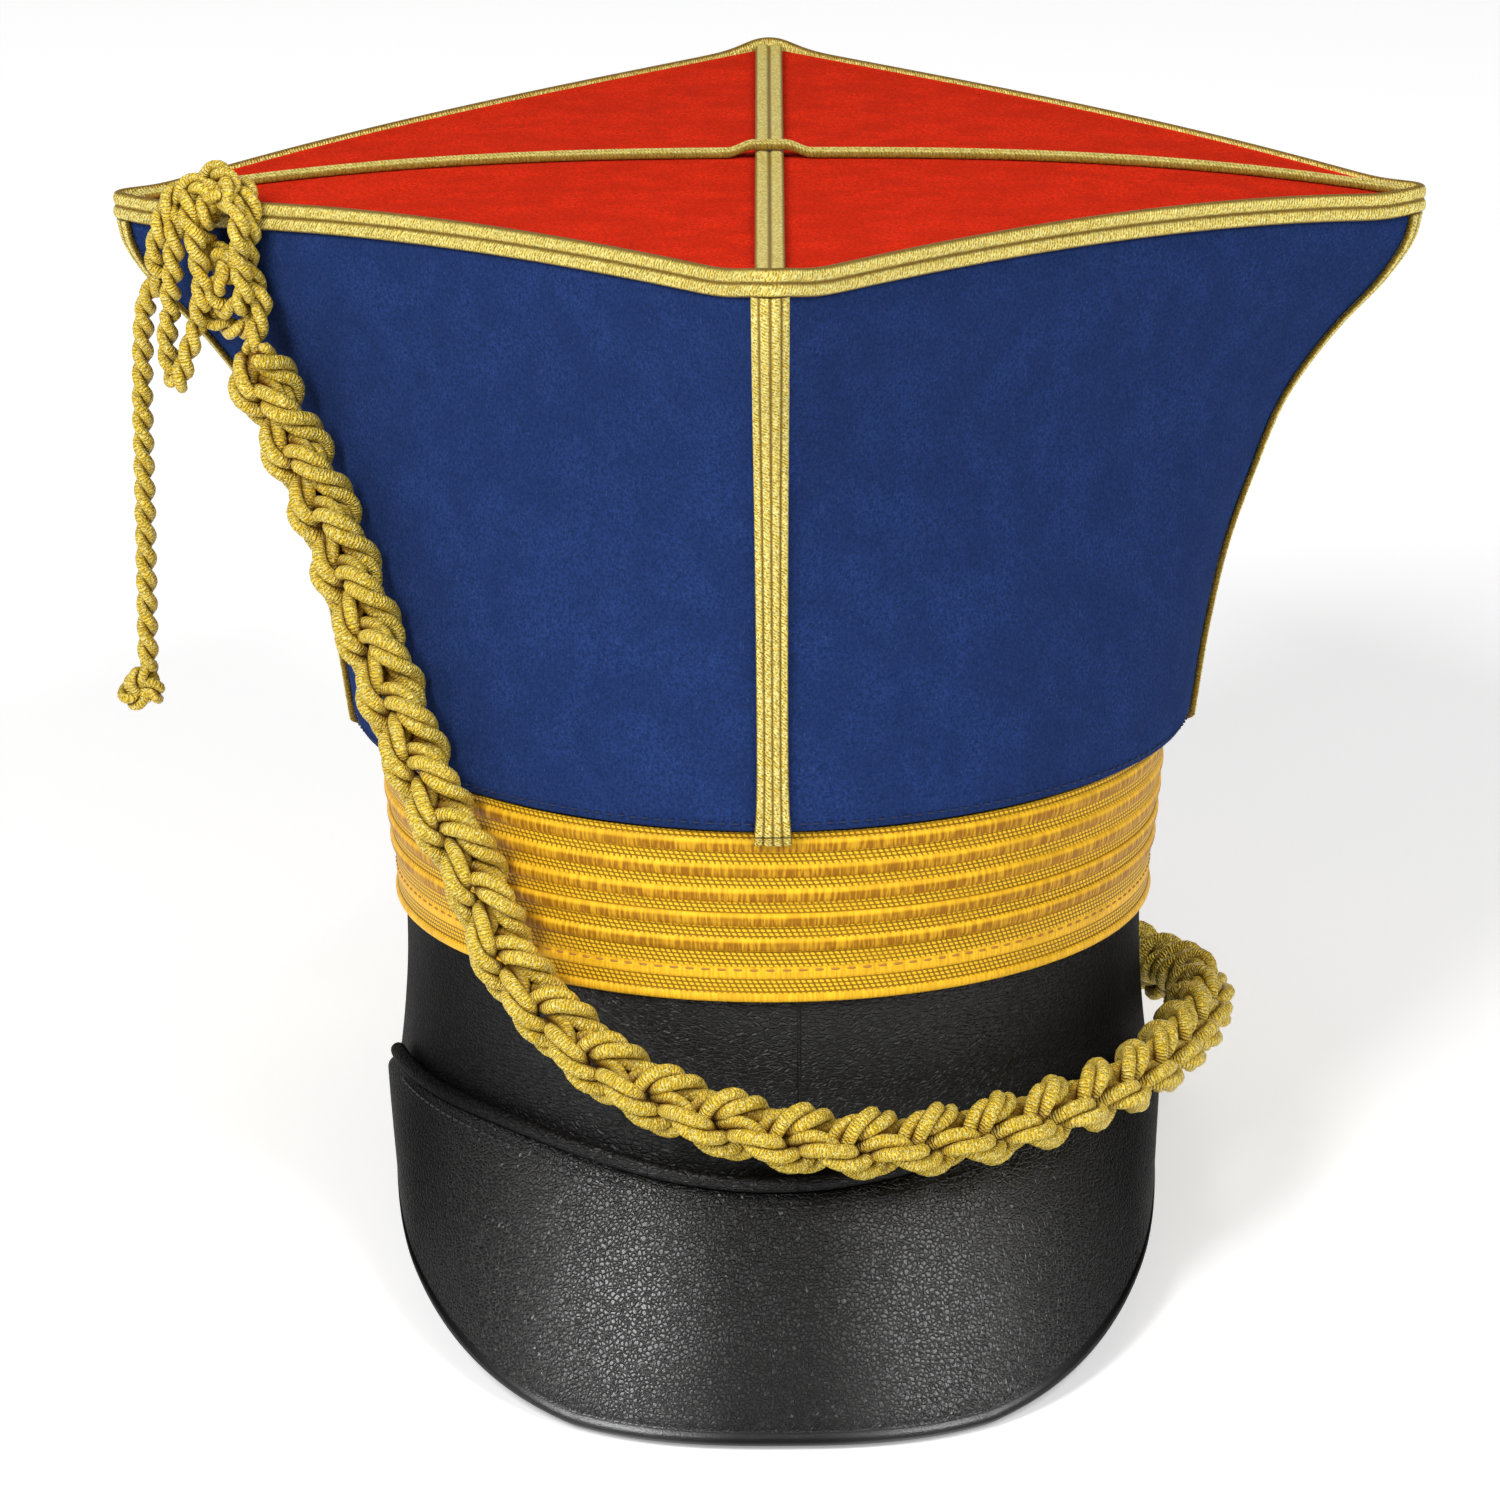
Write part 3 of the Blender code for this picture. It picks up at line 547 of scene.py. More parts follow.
class Look:
    """A material's node tree, with short calls that add and join its nodes."""

    def __init__(self, name):
        self.material = bpy.data.materials.new(name)
        self.material.use_nodes = True
        self.tree = self.material.node_tree
        self.shader = self.tree.nodes["Principled BSDF"]

    def put(self, socket, value):
        """Joins a node's output to a socket, or sets the socket's own value."""
        if isinstance(value, bpy.types.NodeSocket):
            self.tree.links.new(value, socket)
        else:
            socket.default_value = value

    def add(self, kind, output=0, settings=(), **inputs):
        """Adds a node, sets its settings and inputs, and returns one of its outputs."""
        node = self.tree.nodes.new("ShaderNode" + kind)
        for key, value in dict(settings).items():
            setattr(node, key, value)
        for key, value in inputs.items():
            self.put(node.inputs[key.replace("_", " ") if not key[1:].isdigit() else int(key[1:])], value)
        return node.outputs[output]

    def math(self, operation, a, b=0.0, c=0.0):
        """Math node on one, two or three values."""
        return self.add("Math", settings={"operation": operation}, i0=a, i1=b, i2=c)

    def noise(self, vector, scale, detail=2.0, roughness=0.5):
        """Noise texture's value."""
        return self.add("TexNoise", Vector=vector, Scale=scale, Detail=detail, Roughness=roughness)

    def stretch(self, vector, scale):
        """Coordinates multiplied axis by axis."""
        return self.add("Mapping", Vector=vector, Scale=scale)

    def between(self, value, low, high, start=0.0, end=1.0):
        """Smooth step of a value from low to high."""
        return self.add("MapRange", settings={"interpolation_type": "SMOOTHSTEP"}, i0=value, i1=low, i2=high,
                        i3=start, i4=end)

    def wave(self, phase, operation="SINE"):
        """Wave between nought and one, once for every whole step of the phase."""
        turned = self.math(operation, self.math("MULTIPLY", phase, 2 * math.pi))
        return self.math("MULTIPLY_ADD", turned, 0.5, 0.5)

    def apart(self, a, b):
        """Distance between two values."""
        return self.math("ABSOLUTE", self.math("SUBTRACT", a, b))

    def axis(self, vector, index):
        """One axis of a vector."""
        return self.add("SeparateXYZ", index, Vector=vector)

    def mark(self, word):
        """Number stored on the piece's points."""
        return self.add("Attribute", 2, settings={"attribute_name": word})

    def blend(self, share, a, b):
        """Mix of two colours."""
        return self.add("Mix", 2, settings={"data_type": "RGBA"}, i0=share, i6=a, i7=b)

    def bump(self, height, distance, strength=1.0, below=None):
        """Bump of a height; distance is what a height of one stands for."""
        normal = {} if below is None else {"Normal": below}
        return self.add("Bump", Height=height, Distance=distance, Strength=strength, **normal)

    def finish(self, **inputs):
        """Joins or sets the shader's inputs and returns the material."""
        for key, value in inputs.items():
            self.put(self.shader.inputs[key.replace("_", " ")], value)
        return self.material


def rgb(colour):
    """Colour property as a node colour."""
    return (*colour, 1.0)


def shade(colour, factor):
    """Colour made lighter or darker."""
    return tuple(min(1.0, channel * factor) for channel in colour) + (1.0,)


def felt_look(name, colour):
    """Milled wool: soft mottling, a fine nap and sparse lighter fibres."""
    look = Look(name)
    place = look.add("TexCoord", 3)
    cloud = look.noise(place, 90.0, 3.0)
    nap = look.noise(place, 1500.0, 4.0, 0.7)
    fleck = look.noise(look.stretch(place, (1.0, 1.0, 0.35)), 2600.0, 2.0)
    base = look.blend(look.between(cloud, 0.35, 0.68), shade(colour, 0.86), shade(colour, 1.12))
    base = look.blend(look.between(nap, 0.34, 0.66), shade(colour, 0.55), base)
    light = tuple(min(1.0, channel * 1.1 + 0.03) for channel in colour)
    base = look.blend(look.between(fleck, 0.62, 0.74, 0.0, 0.55), base, rgb(light))
    bump = look.bump(look.noise(place, 1900.0, 5.0, 0.75), 0.0006, 0.7)
    bump = look.bump(cloud, 0.0008, 0.5, bump)
    return look.finish(Base_Color=base, Roughness=0.95, Normal=bump, Specular_IOR_Level=0.03)


def leather_look(name, colour, pebbled):
    """Black leather: fine creases, or a pebbled grain that fades on the turned edge.

    The front is polished, with two brighter patches on the peak, and the sides are dull. The
    skull's front seam is a fine furrow.
    """
    look = Look(name)
    place = look.add("TexCoord", 3)
    drift = look.add("TexNoise", 1, Vector=place, Scale=300.0, Detail=2.0)
    warp = look.add("VectorMath", settings={"operation": "MULTIPLY_ADD"}, i0=drift,
                    i1=(0.0013, 0.0013, 0.0013), i2=place)
    cells = look.add("TexVoronoi", settings={"feature": "DISTANCE_TO_EDGE"},
                     Vector=warp if pebbled else look.stretch(warp, (0.55, 0.55, 1.5)),
                     Scale=1000.0 if pebbled else 900.0, Randomness=1.0)
    grain = look.between(cells, 0.0, 0.22)
    cloud = look.noise(place, 22.0, 3.0)
    fine = look.noise(place, 2600.0, 2.0)
    if pebbled:
        edge = look.axis(look.add("UVMap"), 1)
        grain = look.math("MULTIPLY", grain, look.between(edge, 0.0026, 0.0036))
    bump = look.bump(grain, 0.00024 if pebbled else 0.0002, 1.0)
    bump = look.bump(fine, 0.00012, 0.6, bump)
    bump = look.bump(cloud, 0.004, 0.25, bump)
    # Painted shade: the colour is darker in the crevices of the grain and along the creases
    base = look.blend(grain, shade(colour, 0.35), rgb(colour))
    across = look.axis(place, 0)
    aside = look.math("ABSOLUTE", across)
    dull = look.between(aside, 0.045, 0.08, 0.0, 0.1)
    if pebbled:
        shine = look.math("MULTIPLY", look.between(aside, 0.006, 0.03, 0.45, 1.0),
                          look.between(aside, 0.045, 0.08, 0.95, 0.04))
    else:
        shine = look.between(aside, 0.03, 0.075, 0.45, 0.03)
        seam = look.between(look.apart(across, SKULL_SEAM), 0.0001, 0.0005, 1.0, 0.0)
        seam = look.math("MULTIPLY", seam, look.math("LESS_THAN", look.axis(place, 1), -0.05))
        bump = look.bump(seam, -0.0008, 1.0, bump)
    low, high = (0.32, 0.4) if pebbled else (0.4, 0.5)
    rough = look.math("ADD", dull, look.between(cloud, 0.3, 0.7, low, high))
    return look.finish(Base_Color=base, Roughness=rough, Normal=bump, Specular_IOR_Level=shine)


def braid_look(name, colour, ribs, seam=-1.0, metal=0.25):
    """Woven metal braid: oblique threads on each rib with painted shade between them, painted glints, and
    painted shade of a dark brownish tone in the furrows.

    seam is the distance from the braid's start of a dark cross stitch; below nought there is none.
    """
    look = Look(name)
    uv = look.add("UVMap")
    along, across = look.axis(uv, 0), look.axis(uv, 1)
    place = look.add("TexCoord", 3)
    within = look.math("FRACT", look.math("MULTIPLY", across, float(ribs)))
    aside = look.apart(within, 0.5)
    wander = look.noise(place, 800.0, 3.0)
    phase = look.math("ADD", look.math("DIVIDE", along, BRAID_PITCH), look.math("MULTIPLY", within, 1.6))
    phase = look.math("ADD", phase, look.math("MULTIPLY", wander, 1.3))
    thread = look.wave(phase)
    glint = look.noise(place, 1700.0, 3.0, 0.65)
    cloud = look.noise(place, 240.0, 2.0)
    # Painted shade between the oblique threads
    base = look.blend(look.between(thread, 0.0, 0.75), shade(colour, 0.4), rgb(colour))
    base = look.blend(look.between(cloud, 0.46, 0.7, 0.0, 0.35), base, shade(colour, 0.55))
    # Painted glints: spots of pale gold that stand in for highlights
    base = look.blend(look.between(glint, 0.44, 0.58, 0.0, 1.0), base, (1.0, 0.9, 0.32, 1.0))
    # Painted shade in the furrows between the ribs, in a dark brownish tone of the gold
    painted_shade = shade((colour[0], colour[1] * 0.75, 0.02), 0.25)
    base = look.blend(look.between(aside, 0.26, 0.47, 0.0, 0.92), base, painted_shade)
    if seam >= 0:
        near = look.between(look.apart(along, seam), 0.0001, 0.0004, 0.85, 0.0)
        base = look.blend(near, base, (0.02, 0.012, 0.006, 1.0))
    bump = look.bump(thread, 0.0003, 1.0)
    bump = look.bump(glint, 0.0004, 0.8, bump)
    return look.finish(Base_Color=base, Roughness=0.36, Metallic=metal, Normal=bump, Specular_IOR_Level=0.25)


def cord_look(name, colour):
    """Gimp cord: a fine thread wound round each ply, with painted shade between its turns, painted shade
    where the plies meet, and painted glints.
    """
    look = Look(name)
    uv = look.add("UVMap")
    along, around = look.axis(uv, 0), look.axis(uv, 1)
    place = look.add("TexCoord", 3)
    wander = look.math("MULTIPLY", look.noise(place, 900.0, 2.0), 1.6)
    phase = look.math("ADD", look.math("DIVIDE", along, GIMP_PITCH), look.math("ADD", around, wander))
    wind = look.wave(phase)
    glint = look.noise(place, 1800.0, 3.0, 0.65)
    cloud = look.noise(place, 330.0, 2.0)
    crown = look.between(look.mark("crown"), 0.22, 0.74)
    # Painted shade between the turns of the wound thread
    base = look.blend(look.between(wind, 0.0, 0.65), shade(colour, 0.5), rgb(colour))
    base = look.blend(look.between(cloud, 0.5, 0.7, 0.0, 0.4), base, shade(colour, 0.62))
    # Painted glints: spots of pale gold that stand in for highlights
    base = look.blend(look.between(glint, 0.48, 0.62, 0.0, 0.9), base, (1.0, 0.88, 0.32, 1.0))
    # Painted shade on points that lie deep, where the plies meet and inside the plait
    base = look.blend(crown, (0.24, 0.1, 0.005, 1.0), base)
    bump = look.bump(wind, 0.0004, 1.0)
    bump = look.bump(glint, 0.0003, 0.7, bump)
    return look.finish(Base_Color=base, Roughness=0.32, Metallic=0.08, Normal=bump, Specular_IOR_Level=0.3)


def lace_look(name, colour):
    """Silk lace: rounded satin ribs of upright threads with painted shade on their lower side, between rows
    of dotted twill.
    """
    look = Look(name)
    uv = look.add("UVMap")
    along, up = look.axis(uv, 0), look.axis(uv, 1)
    place = look.add("TexCoord", 3)
    twill, under = look.mark("twill"), look.mark("under")
    streak = look.noise(look.stretch(uv, (1.0, 0.12, 1.0)), 1500.0, 2.0)
    satin = look.blend(look.between(streak, 0.36, 0.64), shade(colour, 0.8), shade(colour, 1.15))
    # Painted shade for the ribs' lower side: a dark brownish tone of the lace, streaked like the satin
    painted_shade = (colour[0] * 0.34, colour[1] * 0.26, colour[2] * 0.2, 1.0)
    painted_shade = look.blend(look.between(streak, 0.4, 0.66), painted_shade, shade(colour, 0.72))
    satin = look.blend(under, satin, painted_shade)
    row = look.math("DIVIDE", up, TWILL_ROW)
    column = look.math("MULTIPLY_ADD", row, 0.36, look.math("DIVIDE", along, TWILL_DOT))
    column = look.math("MULTIPLY_ADD", look.noise(place, 500.0, 2.0), 0.3, column)
    dots = look.math("MULTIPLY", look.wave(column, "COSINE"), look.wave(row, "COSINE"))
    dots = look.between(dots, 0.0, 0.3)
    base = look.blend(twill, satin, look.blend(dots, shade(colour, 0.3), shade(colour, 1.15)))
    cloud = look.noise(look.stretch(place, (0.4, 0.4, 2.0)), 160.0, 3.0)
    base = look.blend(look.between(cloud, 0.45, 0.7, 0.0, 0.3), base, shade(colour, 0.6))
    height = look.add("Mix", 0, settings={"data_type": "FLOAT"}, i0=twill, i2=streak, i3=dots)
    bump = look.bump(height, 0.0003, 0.9)
    return look.finish(Base_Color=base, Roughness=0.45, Normal=bump, Specular_IOR_Level=0.12)


# Properties

class ShakoColours(bpy.types.PropertyGroup):
    """Colours of the shako's cloth, leather and gold."""
    blue: bpy.props.FloatVectorProperty(name="Body cloth", description="Colour of the cloth body",
                                        default=(0.021, 0.048, 0.175), subtype="COLOR", min=0, max=1)
    red: bpy.props.FloatVectorProperty(name="Top cloth", description="Colour of the square top",
                                       default=(0.9, 0.033, 0.008), subtype="COLOR", min=0, max=1)
    leather: bpy.props.FloatVectorProperty(name="Leather", description="Colour of the skull and peak",
                                           default=(0.006, 0.006, 0.0065), subtype="COLOR", min=0, max=1)
    lace: bpy.props.FloatVectorProperty(name="Lace", description="Colour of the silk waist band",
                                        default=(0.95, 0.5, 0.022), subtype="COLOR", min=0, max=1)
    braid: bpy.props.FloatVectorProperty(name="Braid", description="Colour of the flat gold braid",
                                         default=(1.0, 0.72, 0.1), subtype="COLOR", min=0, max=1)
    cord: bpy.props.FloatVectorProperty(name="Cord", description="Colour of the gold cords",
                                        default=(1.0, 0.67, 0.036), subtype="COLOR", min=0, max=1)


class ShakoSizes(bpy.types.PropertyGroup):
    """Sizes of the fine work that a user may change."""
    rib_rise: bpy.props.FloatProperty(name="Lace rib", description="How far the lace band's ribs stand out",
                                      default=0.0007, min=0.0, max=0.0012, unit="LENGTH", precision=4)
    stitch_length: bpy.props.FloatProperty(name="Stitch", description="Length of one running stitch",
                                           default=0.0021, min=0.0008, max=0.005, unit="LENGTH", precision=4)
    key_light: bpy.props.FloatProperty(name="Key light", description="Power of the soft light on the left",
                                       default=34.0, min=0.0, max=500.0, unit="POWER")
    fill_light: bpy.props.FloatProperty(name="Fill light", description="Power of the soft light on the right",
                                        default=20.0, min=0.0, max=500.0, unit="POWER")


def settings():
    """The scene's colours and sizes."""
    return bpy.context.scene.shako_colours, bpy.context.scene.shako_sizes


# Operators

class SHAKO_OT_stage(bpy.types.Operator):
    """Makes the camera, the pale floor and the soft lights"""
    bl_idname = "shako.stage"
    bl_label = "Stage"

    def execute(self, context):
        _, sizes = settings()
        camera = bpy.data.objects.new("camera", bpy.data.cameras.new("camera"))
        turned = Matrix.Rotation(CAMERA_PITCH, 3, "X") @ Matrix.Rotation(CAMERA_ROLL, 3, "Z")
        camera.location = CAMERA_PLACE
        camera.rotation_euler = turned.to_euler()
        camera.data.lens = FOCAL_PIXELS / PHOTO_PIXELS * SENSOR
        camera.data.sensor_width = SENSOR
        camera.data.shift_x = SHIFT_PIXELS / PHOTO_PIXELS
        context.scene.collection.objects.link(camera)
        context.scene.camera = camera

        floor = bpy.data.meshes.new("floor")
        floor.from_pydata([(-6, -6, 0), (6, -6, 0), (6, 6, 0), (-6, 6, 0)], [], [(0, 1, 2, 3)])
        look = Look("pale_floor")
        floor.materials.append(look.finish(Base_Color=(0.92, 0.92, 0.92, 1.0), Roughness=0.9,
                                           Emission_Color=(1.0, 1.0, 1.0, 1.0), Emission_Strength=0.32))
        floor = bpy.data.objects.new("floor", floor)
        context.scene.collection.objects.link(floor)

        for name, power, size, spot, aim in (
                ("key", sizes.key_light, 0.8, (-1.05, -1.05, 1.55), (0, 0, 0.12)),
                ("fill", sizes.fill_light, 0.8, (1.0, -1.0, 1.5), (0, 0, 0.12)),
                ("top", 5.0, 1.2, (0.0, 0.5, 1.9), (0, 0, 0.1))):
            data = bpy.data.lights.new(name, "AREA")
            data.energy, data.size = power, size
            lamp = bpy.data.objects.new(name, data)
            lamp.location = spot
            lamp.rotation_euler = (Vector(spot) - Vector(aim)).to_track_quat("Z", "Y").to_euler()
            context.scene.collection.objects.link(lamp)
        world = bpy.data.worlds.new("studio")
        world.use_nodes = True
        background = world.node_tree.nodes["Background"].inputs
        background["Color"].default_value = (1.0, 1.0, 1.0, 1.0)
        background["Strength"].default_value = 0.12
        context.scene.world = world
        context.scene.view_settings.view_transform = "Standard"
        return {"FINISHED"}


class SHAKO_OT_leather(bpy.types.Operator):
    """Makes the skull, the peak, its welt and their stitches"""
    bl_idname = "shako.leather"
    bl_label = "Skull and peak"

    def execute(self, context):
        colours, sizes = settings()
        smooth = leather_look("creased_leather", colours.leather, False)
        grained = leather_look("grained_leather", colours.leather, True)

        # The skull: the oval's outside and inside, joined by softened rims
        angle = round_turn(288)[:, None]
        height = np.linspace(SKULL_LIP, SKULL_HEIGHT - SKULL_LIP, 44)[None, :]
        outer = skull_point(angle, height)
        inner = skull_point(angle, height, -SKULL_WALL)
        rims = [skull_point(angle, spot, -SKULL_WALL * share)
                for spot, share in ((SKULL_HEIGHT, 0.25), (SKULL_HEIGHT, 0.75), (0.0, 0.75), (0.0, 0.25))]
        grid = np.concatenate([outer, rims[0], rims[1], inner[:, ::-1], rims[2], rims[3]], axis=1)
        carried_profile("skull_leather", grid, running_length(grid[:, 0], True),
                        running_length(grid[0], True), smooth, ("skull",))

        # The peak: straight lines from root to edge, bulged by half a sine, with a roll and a furrow
        # of Gaussian section near the edge
        share = np.linspace(-1, 1, 241)
        root, edge = peak_root(share, CLEARANCE + PEAK_THICKNESS), peak_edge(share)
        horn = np.clip((np.abs(share) - HORN_START) / (1 - HORN_START), 0, 1)
        edge[:, 0] *= 1 - HORN_TUCK * horn ** 2 * (3 - 2 * horn)
        turned = share * PEAK_REACH
        outward = points_at(np.sin(turned), -np.cos(turned), 0)
        up = np.array([0, 0, 1])
        square = math.sin(PEAK_SLOPE) * outward + math.cos(PEAK_SLOPE) * up
        outer, inner, from_edge = [], [], []
        runs = np.concatenate([np.linspace(0, 0.93, 34), np.linspace(0.937, 0.995, 12)])
        for out in runs:
            dome = PEAK_BULGE * math.sin(math.pi * out) * square
            lean = (math.pi / 2 - PEAK_SLOPE) * min(1, 2 * out)
            away = math.cos(lean) * outward + math.sin(lean) * up
            near = (1 - out) * PEAK_LENGTH
            rolled = ROLL_RISE * math.exp(-((near - ROLL_AT) / ROLL_REACH) ** 2)
            rolled -= FURROW_DEPTH * math.exp(-((near - FURROW_AT) / FURROW_REACH) ** 2)
            face = root + (edge - root) * out + dome + away * rolled
            thinned = EDGE_THIN * np.clip((out - EDGE_THIN_FROM) / EDGE_THIN_REACH, 0, 1) ** 2
            thin = PEAK_THICKNESS * (1 - thinned)
            outer.append(face)
            inner.append(face - away * (thin + rolled))
            from_edge.append(near)
        outer, inner = np.array(outer), np.array(inner)
        grid = np.concatenate([outer, inner[::-1]], axis=0).transpose(1, 0, 2)
        across = np.concatenate([from_edge, from_edge[::-1], from_edge[:1]])
        carried_profile("peak_leather", grid, running_length(grid[:, 0]), across, grained,
                        ("peak",), closed=False)

        # The welt: a round roll along the root, thinner at its ends
        share = np.linspace(-1, 1, 220)
        line = peak_root(share, CLEARANCE + WELT_RADIUS)
        line[:, 2] += CLEARANCE + WELT_RADIUS
        tangent = unit(np.gradient(line, axis=0))
        away = unit(line * [1, 1, 0])
        side = unit(np.cross(tangent, away))
        away = np.cross(side, tangent)
        from_end = np.minimum(np.arange(len(line)), np.arange(len(line))[::-1])
        size = WELT_RADIUS * np.clip(from_end / 4 + 0.45, 0, 1)
        grid = ring_about(line, away, side, size[:, None, None], round_turn(16))
        carried_profile("peak_welt_roll", grid, running_length(line), np.linspace(0, 0.014, 17), smooth,
                        ("peak_welt",), closed=False)

        # The seam just below the welt
        share = np.linspace(-0.9, 0.9, 300)
        seam = peak_root(share, CLEARANCE + PEAK_THICKNESS)
        seam = seam + (peak_edge(share) - seam) * PEAK_SEAM_SHARE + unit(seam * [1, 1, 0]) * PEAK_SEAM_OUT
        thread = Look("black_thread").finish(Base_Color=(0.02, 0.02, 0.022, 1.0), Roughness=0.5)
        stitches("peak_stitches", seam, sizes.stitch_length * 0.9, PEAK_STITCH_GAP, PEAK_THREAD, thread)
        return {"FINISHED"}


class SHAKO_OT_waist_band(bpy.types.Operator):
    """Makes the ribbed silk lace band with its row of running stitches"""
    bl_idname = "shako.waist_band"
    bl_label = "Waist band"

    def execute(self, context):
        colours, sizes = settings()
        # Ribs are half ellipses repeated up the band, with painted shade on their lower side, with twill
        # between them; below the last rib lie a rolled hem and a low ridge
        angle = round_turn(360)[:, None]
        share = np.linspace(0, 1, 170)
        within = ((share - FIRST_RIB) / RIB_PERIOD + 0.5) % 1.0
        ribbed_part = share > LAST_RIB - RIB_PERIOD / 2
        satin = np.where(ribbed_part, np.sqrt(np.clip(1 - ((within - 0.5) / RIB_HALF) ** 2, 0, 1)), 0)
        low, middle, high = LOW_TWILL
        flat_part = (share > low) & ((share < middle) | (share > high))
        twill = np.where(ribbed_part, np.abs(within - 0.5) > RIB_TWILL_HALF, flat_part)
        # Where the painted shade lies on each rib's lower side
        painted_shade = np.clip((SHADE_BELOW - within) / SHADE_FADE, 0, 1) * (satin > SHADE_LEAST)
        under = np.where(ribbed_part, painted_shade, 0.0)
        hem = np.sqrt(np.clip(1 - ((share - LACE_HEM_AT) / LACE_HEM_REACH) ** 2, 0, 1))
        hem = hem + RIDGE_RISE * (np.abs(share - RIDGE_AT) < RIDGE_REACH)
        rise = sizes.rib_rise * (RIB_CREST * satin + hem)
        height = SKULL_HEIGHT - BAND_HEIGHT * (1 - share)
        outer = skull_point(angle, height[None, :], (CLEARANCE + BAND_THICKNESS + rise)[None, :])
        inner = skull_point(angle, np.array([[SKULL_HEIGHT, SKULL_HEIGHT - BAND_HEIGHT]]), CLEARANCE)
        grid = np.concatenate([outer, inner], axis=1)
        rows = np.concatenate([share * BAND_HEIGHT, [BAND_HEIGHT, 0.0, 0.0]])
        band = carried_profile("lace_band", grid, running_length(grid[:, 0], True), rows,
                               lace_look("silk_lace_weave", colours.lace), ("waist_band",))
        for word, marks in (("twill", twill), ("under", under)):
            mark_points(band, word, np.tile(np.concatenate([marks, [0, 0]]), grid.shape[0]))
        seam_height = SKULL_HEIGHT - BAND_HEIGHT * (1 - LACE_SEAM)
        line = skull_point(round_turn(700), seam_height, CLEARANCE + BAND_THICKNESS)
        thread = Look("brown_thread").finish(Base_Color=(0.42, 0.2, 0.03, 1.0), Roughness=0.6)
        stitches("lace_stitches", line, sizes.stitch_length, LACE_STITCH_GAP, LACE_THREAD, thread)
        return {"FINISHED"}


class SHAKO_OT_cloth(bpy.types.Operator):
    """Makes the four cloth panels, the square top and the stitched hem"""
    bl_idname = "shako.cloth"
    bl_label = "Cloth body and top"

    def execute(self, context):
        colours, sizes = settings()
        blue = felt_look("blue_felt", colours.blue)
        red = felt_look("red_felt", colours.red)
        # Each panel: a folded foot, in wall thicknesses from a table, then the body's plan at each
        # level; the inside is drawn in by the wall, more at the mitred corners
        wall = CLOTH_WALL
        foot = [(FOOT_TURN_IN, 0, FOOT_TURN_IN, wall)]
        foot += [tuple(share * wall for share in row) for row in FOOT_FOLD]
        levels = np.concatenate([np.linspace(0.03, 0.9, 40), np.linspace(0.915, 1.0, 8)])
        for name, corner in (("panel_back_right", 0), ("panel_back_left", 1), ("panel_front_left", 2),
                             ("panel_front_right", 3)):
            margin = CLEARANCE / FOOT_WIDTH
            angle = corner_angles(corner + np.linspace(0, 1, 73))
            angle[-1] = (corner + 1) * math.pi / 2 - margin
            angle[0] += margin
            outer, inner = [], []
            for inset, rise, inner_inset, inner_rise in foot:
                outer.append(points_at(*body_plan(angle, 0.0, inset), BODY_FOOT + rise))
                inner.append(points_at(*body_plan(angle, 0.0, inner_inset), BODY_FOOT + inner_rise))
            for level in levels:
                mitre = wall * (1 + (math.sqrt(2) - 1) * level)
                height = body_height(angle, level)
                outer.append(points_at(*body_plan(angle, level), height))
                inner.append(points_at(*body_plan(angle, level, mitre), height))
            grid = walled(np.stack(outer, axis=1), np.stack(inner, axis=1))
            carried_profile(name.replace("panel", "felt"), grid, running_length(grid[:, 20]),
                            running_length(grid[36], True), blue, (name,), closed=False)

        # The top: the body's outline shrunk to the middle ring by ring, as two faces and a rim
        steps = np.linspace(-1, 1, 97)
        across, along = np.meshgrid(steps, steps, indexing="ij")
        share = np.maximum(np.abs(across), np.abs(along))
        wide = np.abs(across) >= np.abs(along)
        slant = np.where(wide, along, -across) / np.where(share == 0, 1, np.where(wide, across, along))
        side = np.where(wide, np.where(across < 0, 2, 0), np.where(along < 0, 3, 1))
        x, y = body_plan(corner_angles(side + 0.5 + slant / 2), 1.0)
        x, y = x * share, y * share
        upper = points_at(x, y, top_height(x))
        lower = points_at(x, y, top_height(x) - TOP_THICKNESS)
        n = len(steps)
        quads, _ = grid_faces(n, n, False, False)
        rim = np.concatenate([np.arange(n - 1), n - 1 + n * np.arange(n - 1), n * n - 1 - np.arange(n - 1),
                              n * (n - 1) - n * np.arange(n - 1)])
        after = np.roll(rim, -1)
        sides = np.stack([rim, rim + n * n, after + n * n, after], axis=-1)
        faces = np.concatenate([quads, quads[:, ::-1] + n * n, sides])
        points = np.concatenate([upper.reshape(-1, 3), lower.reshape(-1, 3)])
        finish_mesh("felt_top", points, faces, points[faces][..., :2], red, ("top_cloth",))

        # The seam round the hem
        around = corner_angles(np.linspace(0, 4, 900))
        line = outside_body(around, HEM_SEAM_LEVEL, HEM_SEAM_OUT, BODY_FOOT + HEM_SEAM_RISE)
        thread = Look("blue_thread").finish(Base_Color=(0.008, 0.016, 0.06, 1.0), Roughness=0.7)
        stitches("hem_stitches", line, sizes.stitch_length * 0.8, HEM_STITCH_GAP, HEM_THREAD, thread)
        return {"FINISHED"}


def ribbed(share, ribs, hollow):
    """Height of a ribbed braid: half circles side by side, above a floor of one less the hollow."""
    within = (share * ribs) % 1.0
    return 1 - hollow * (1 - np.sqrt(np.clip(1 - (2 * within - 1) ** 2, 0, 1)))


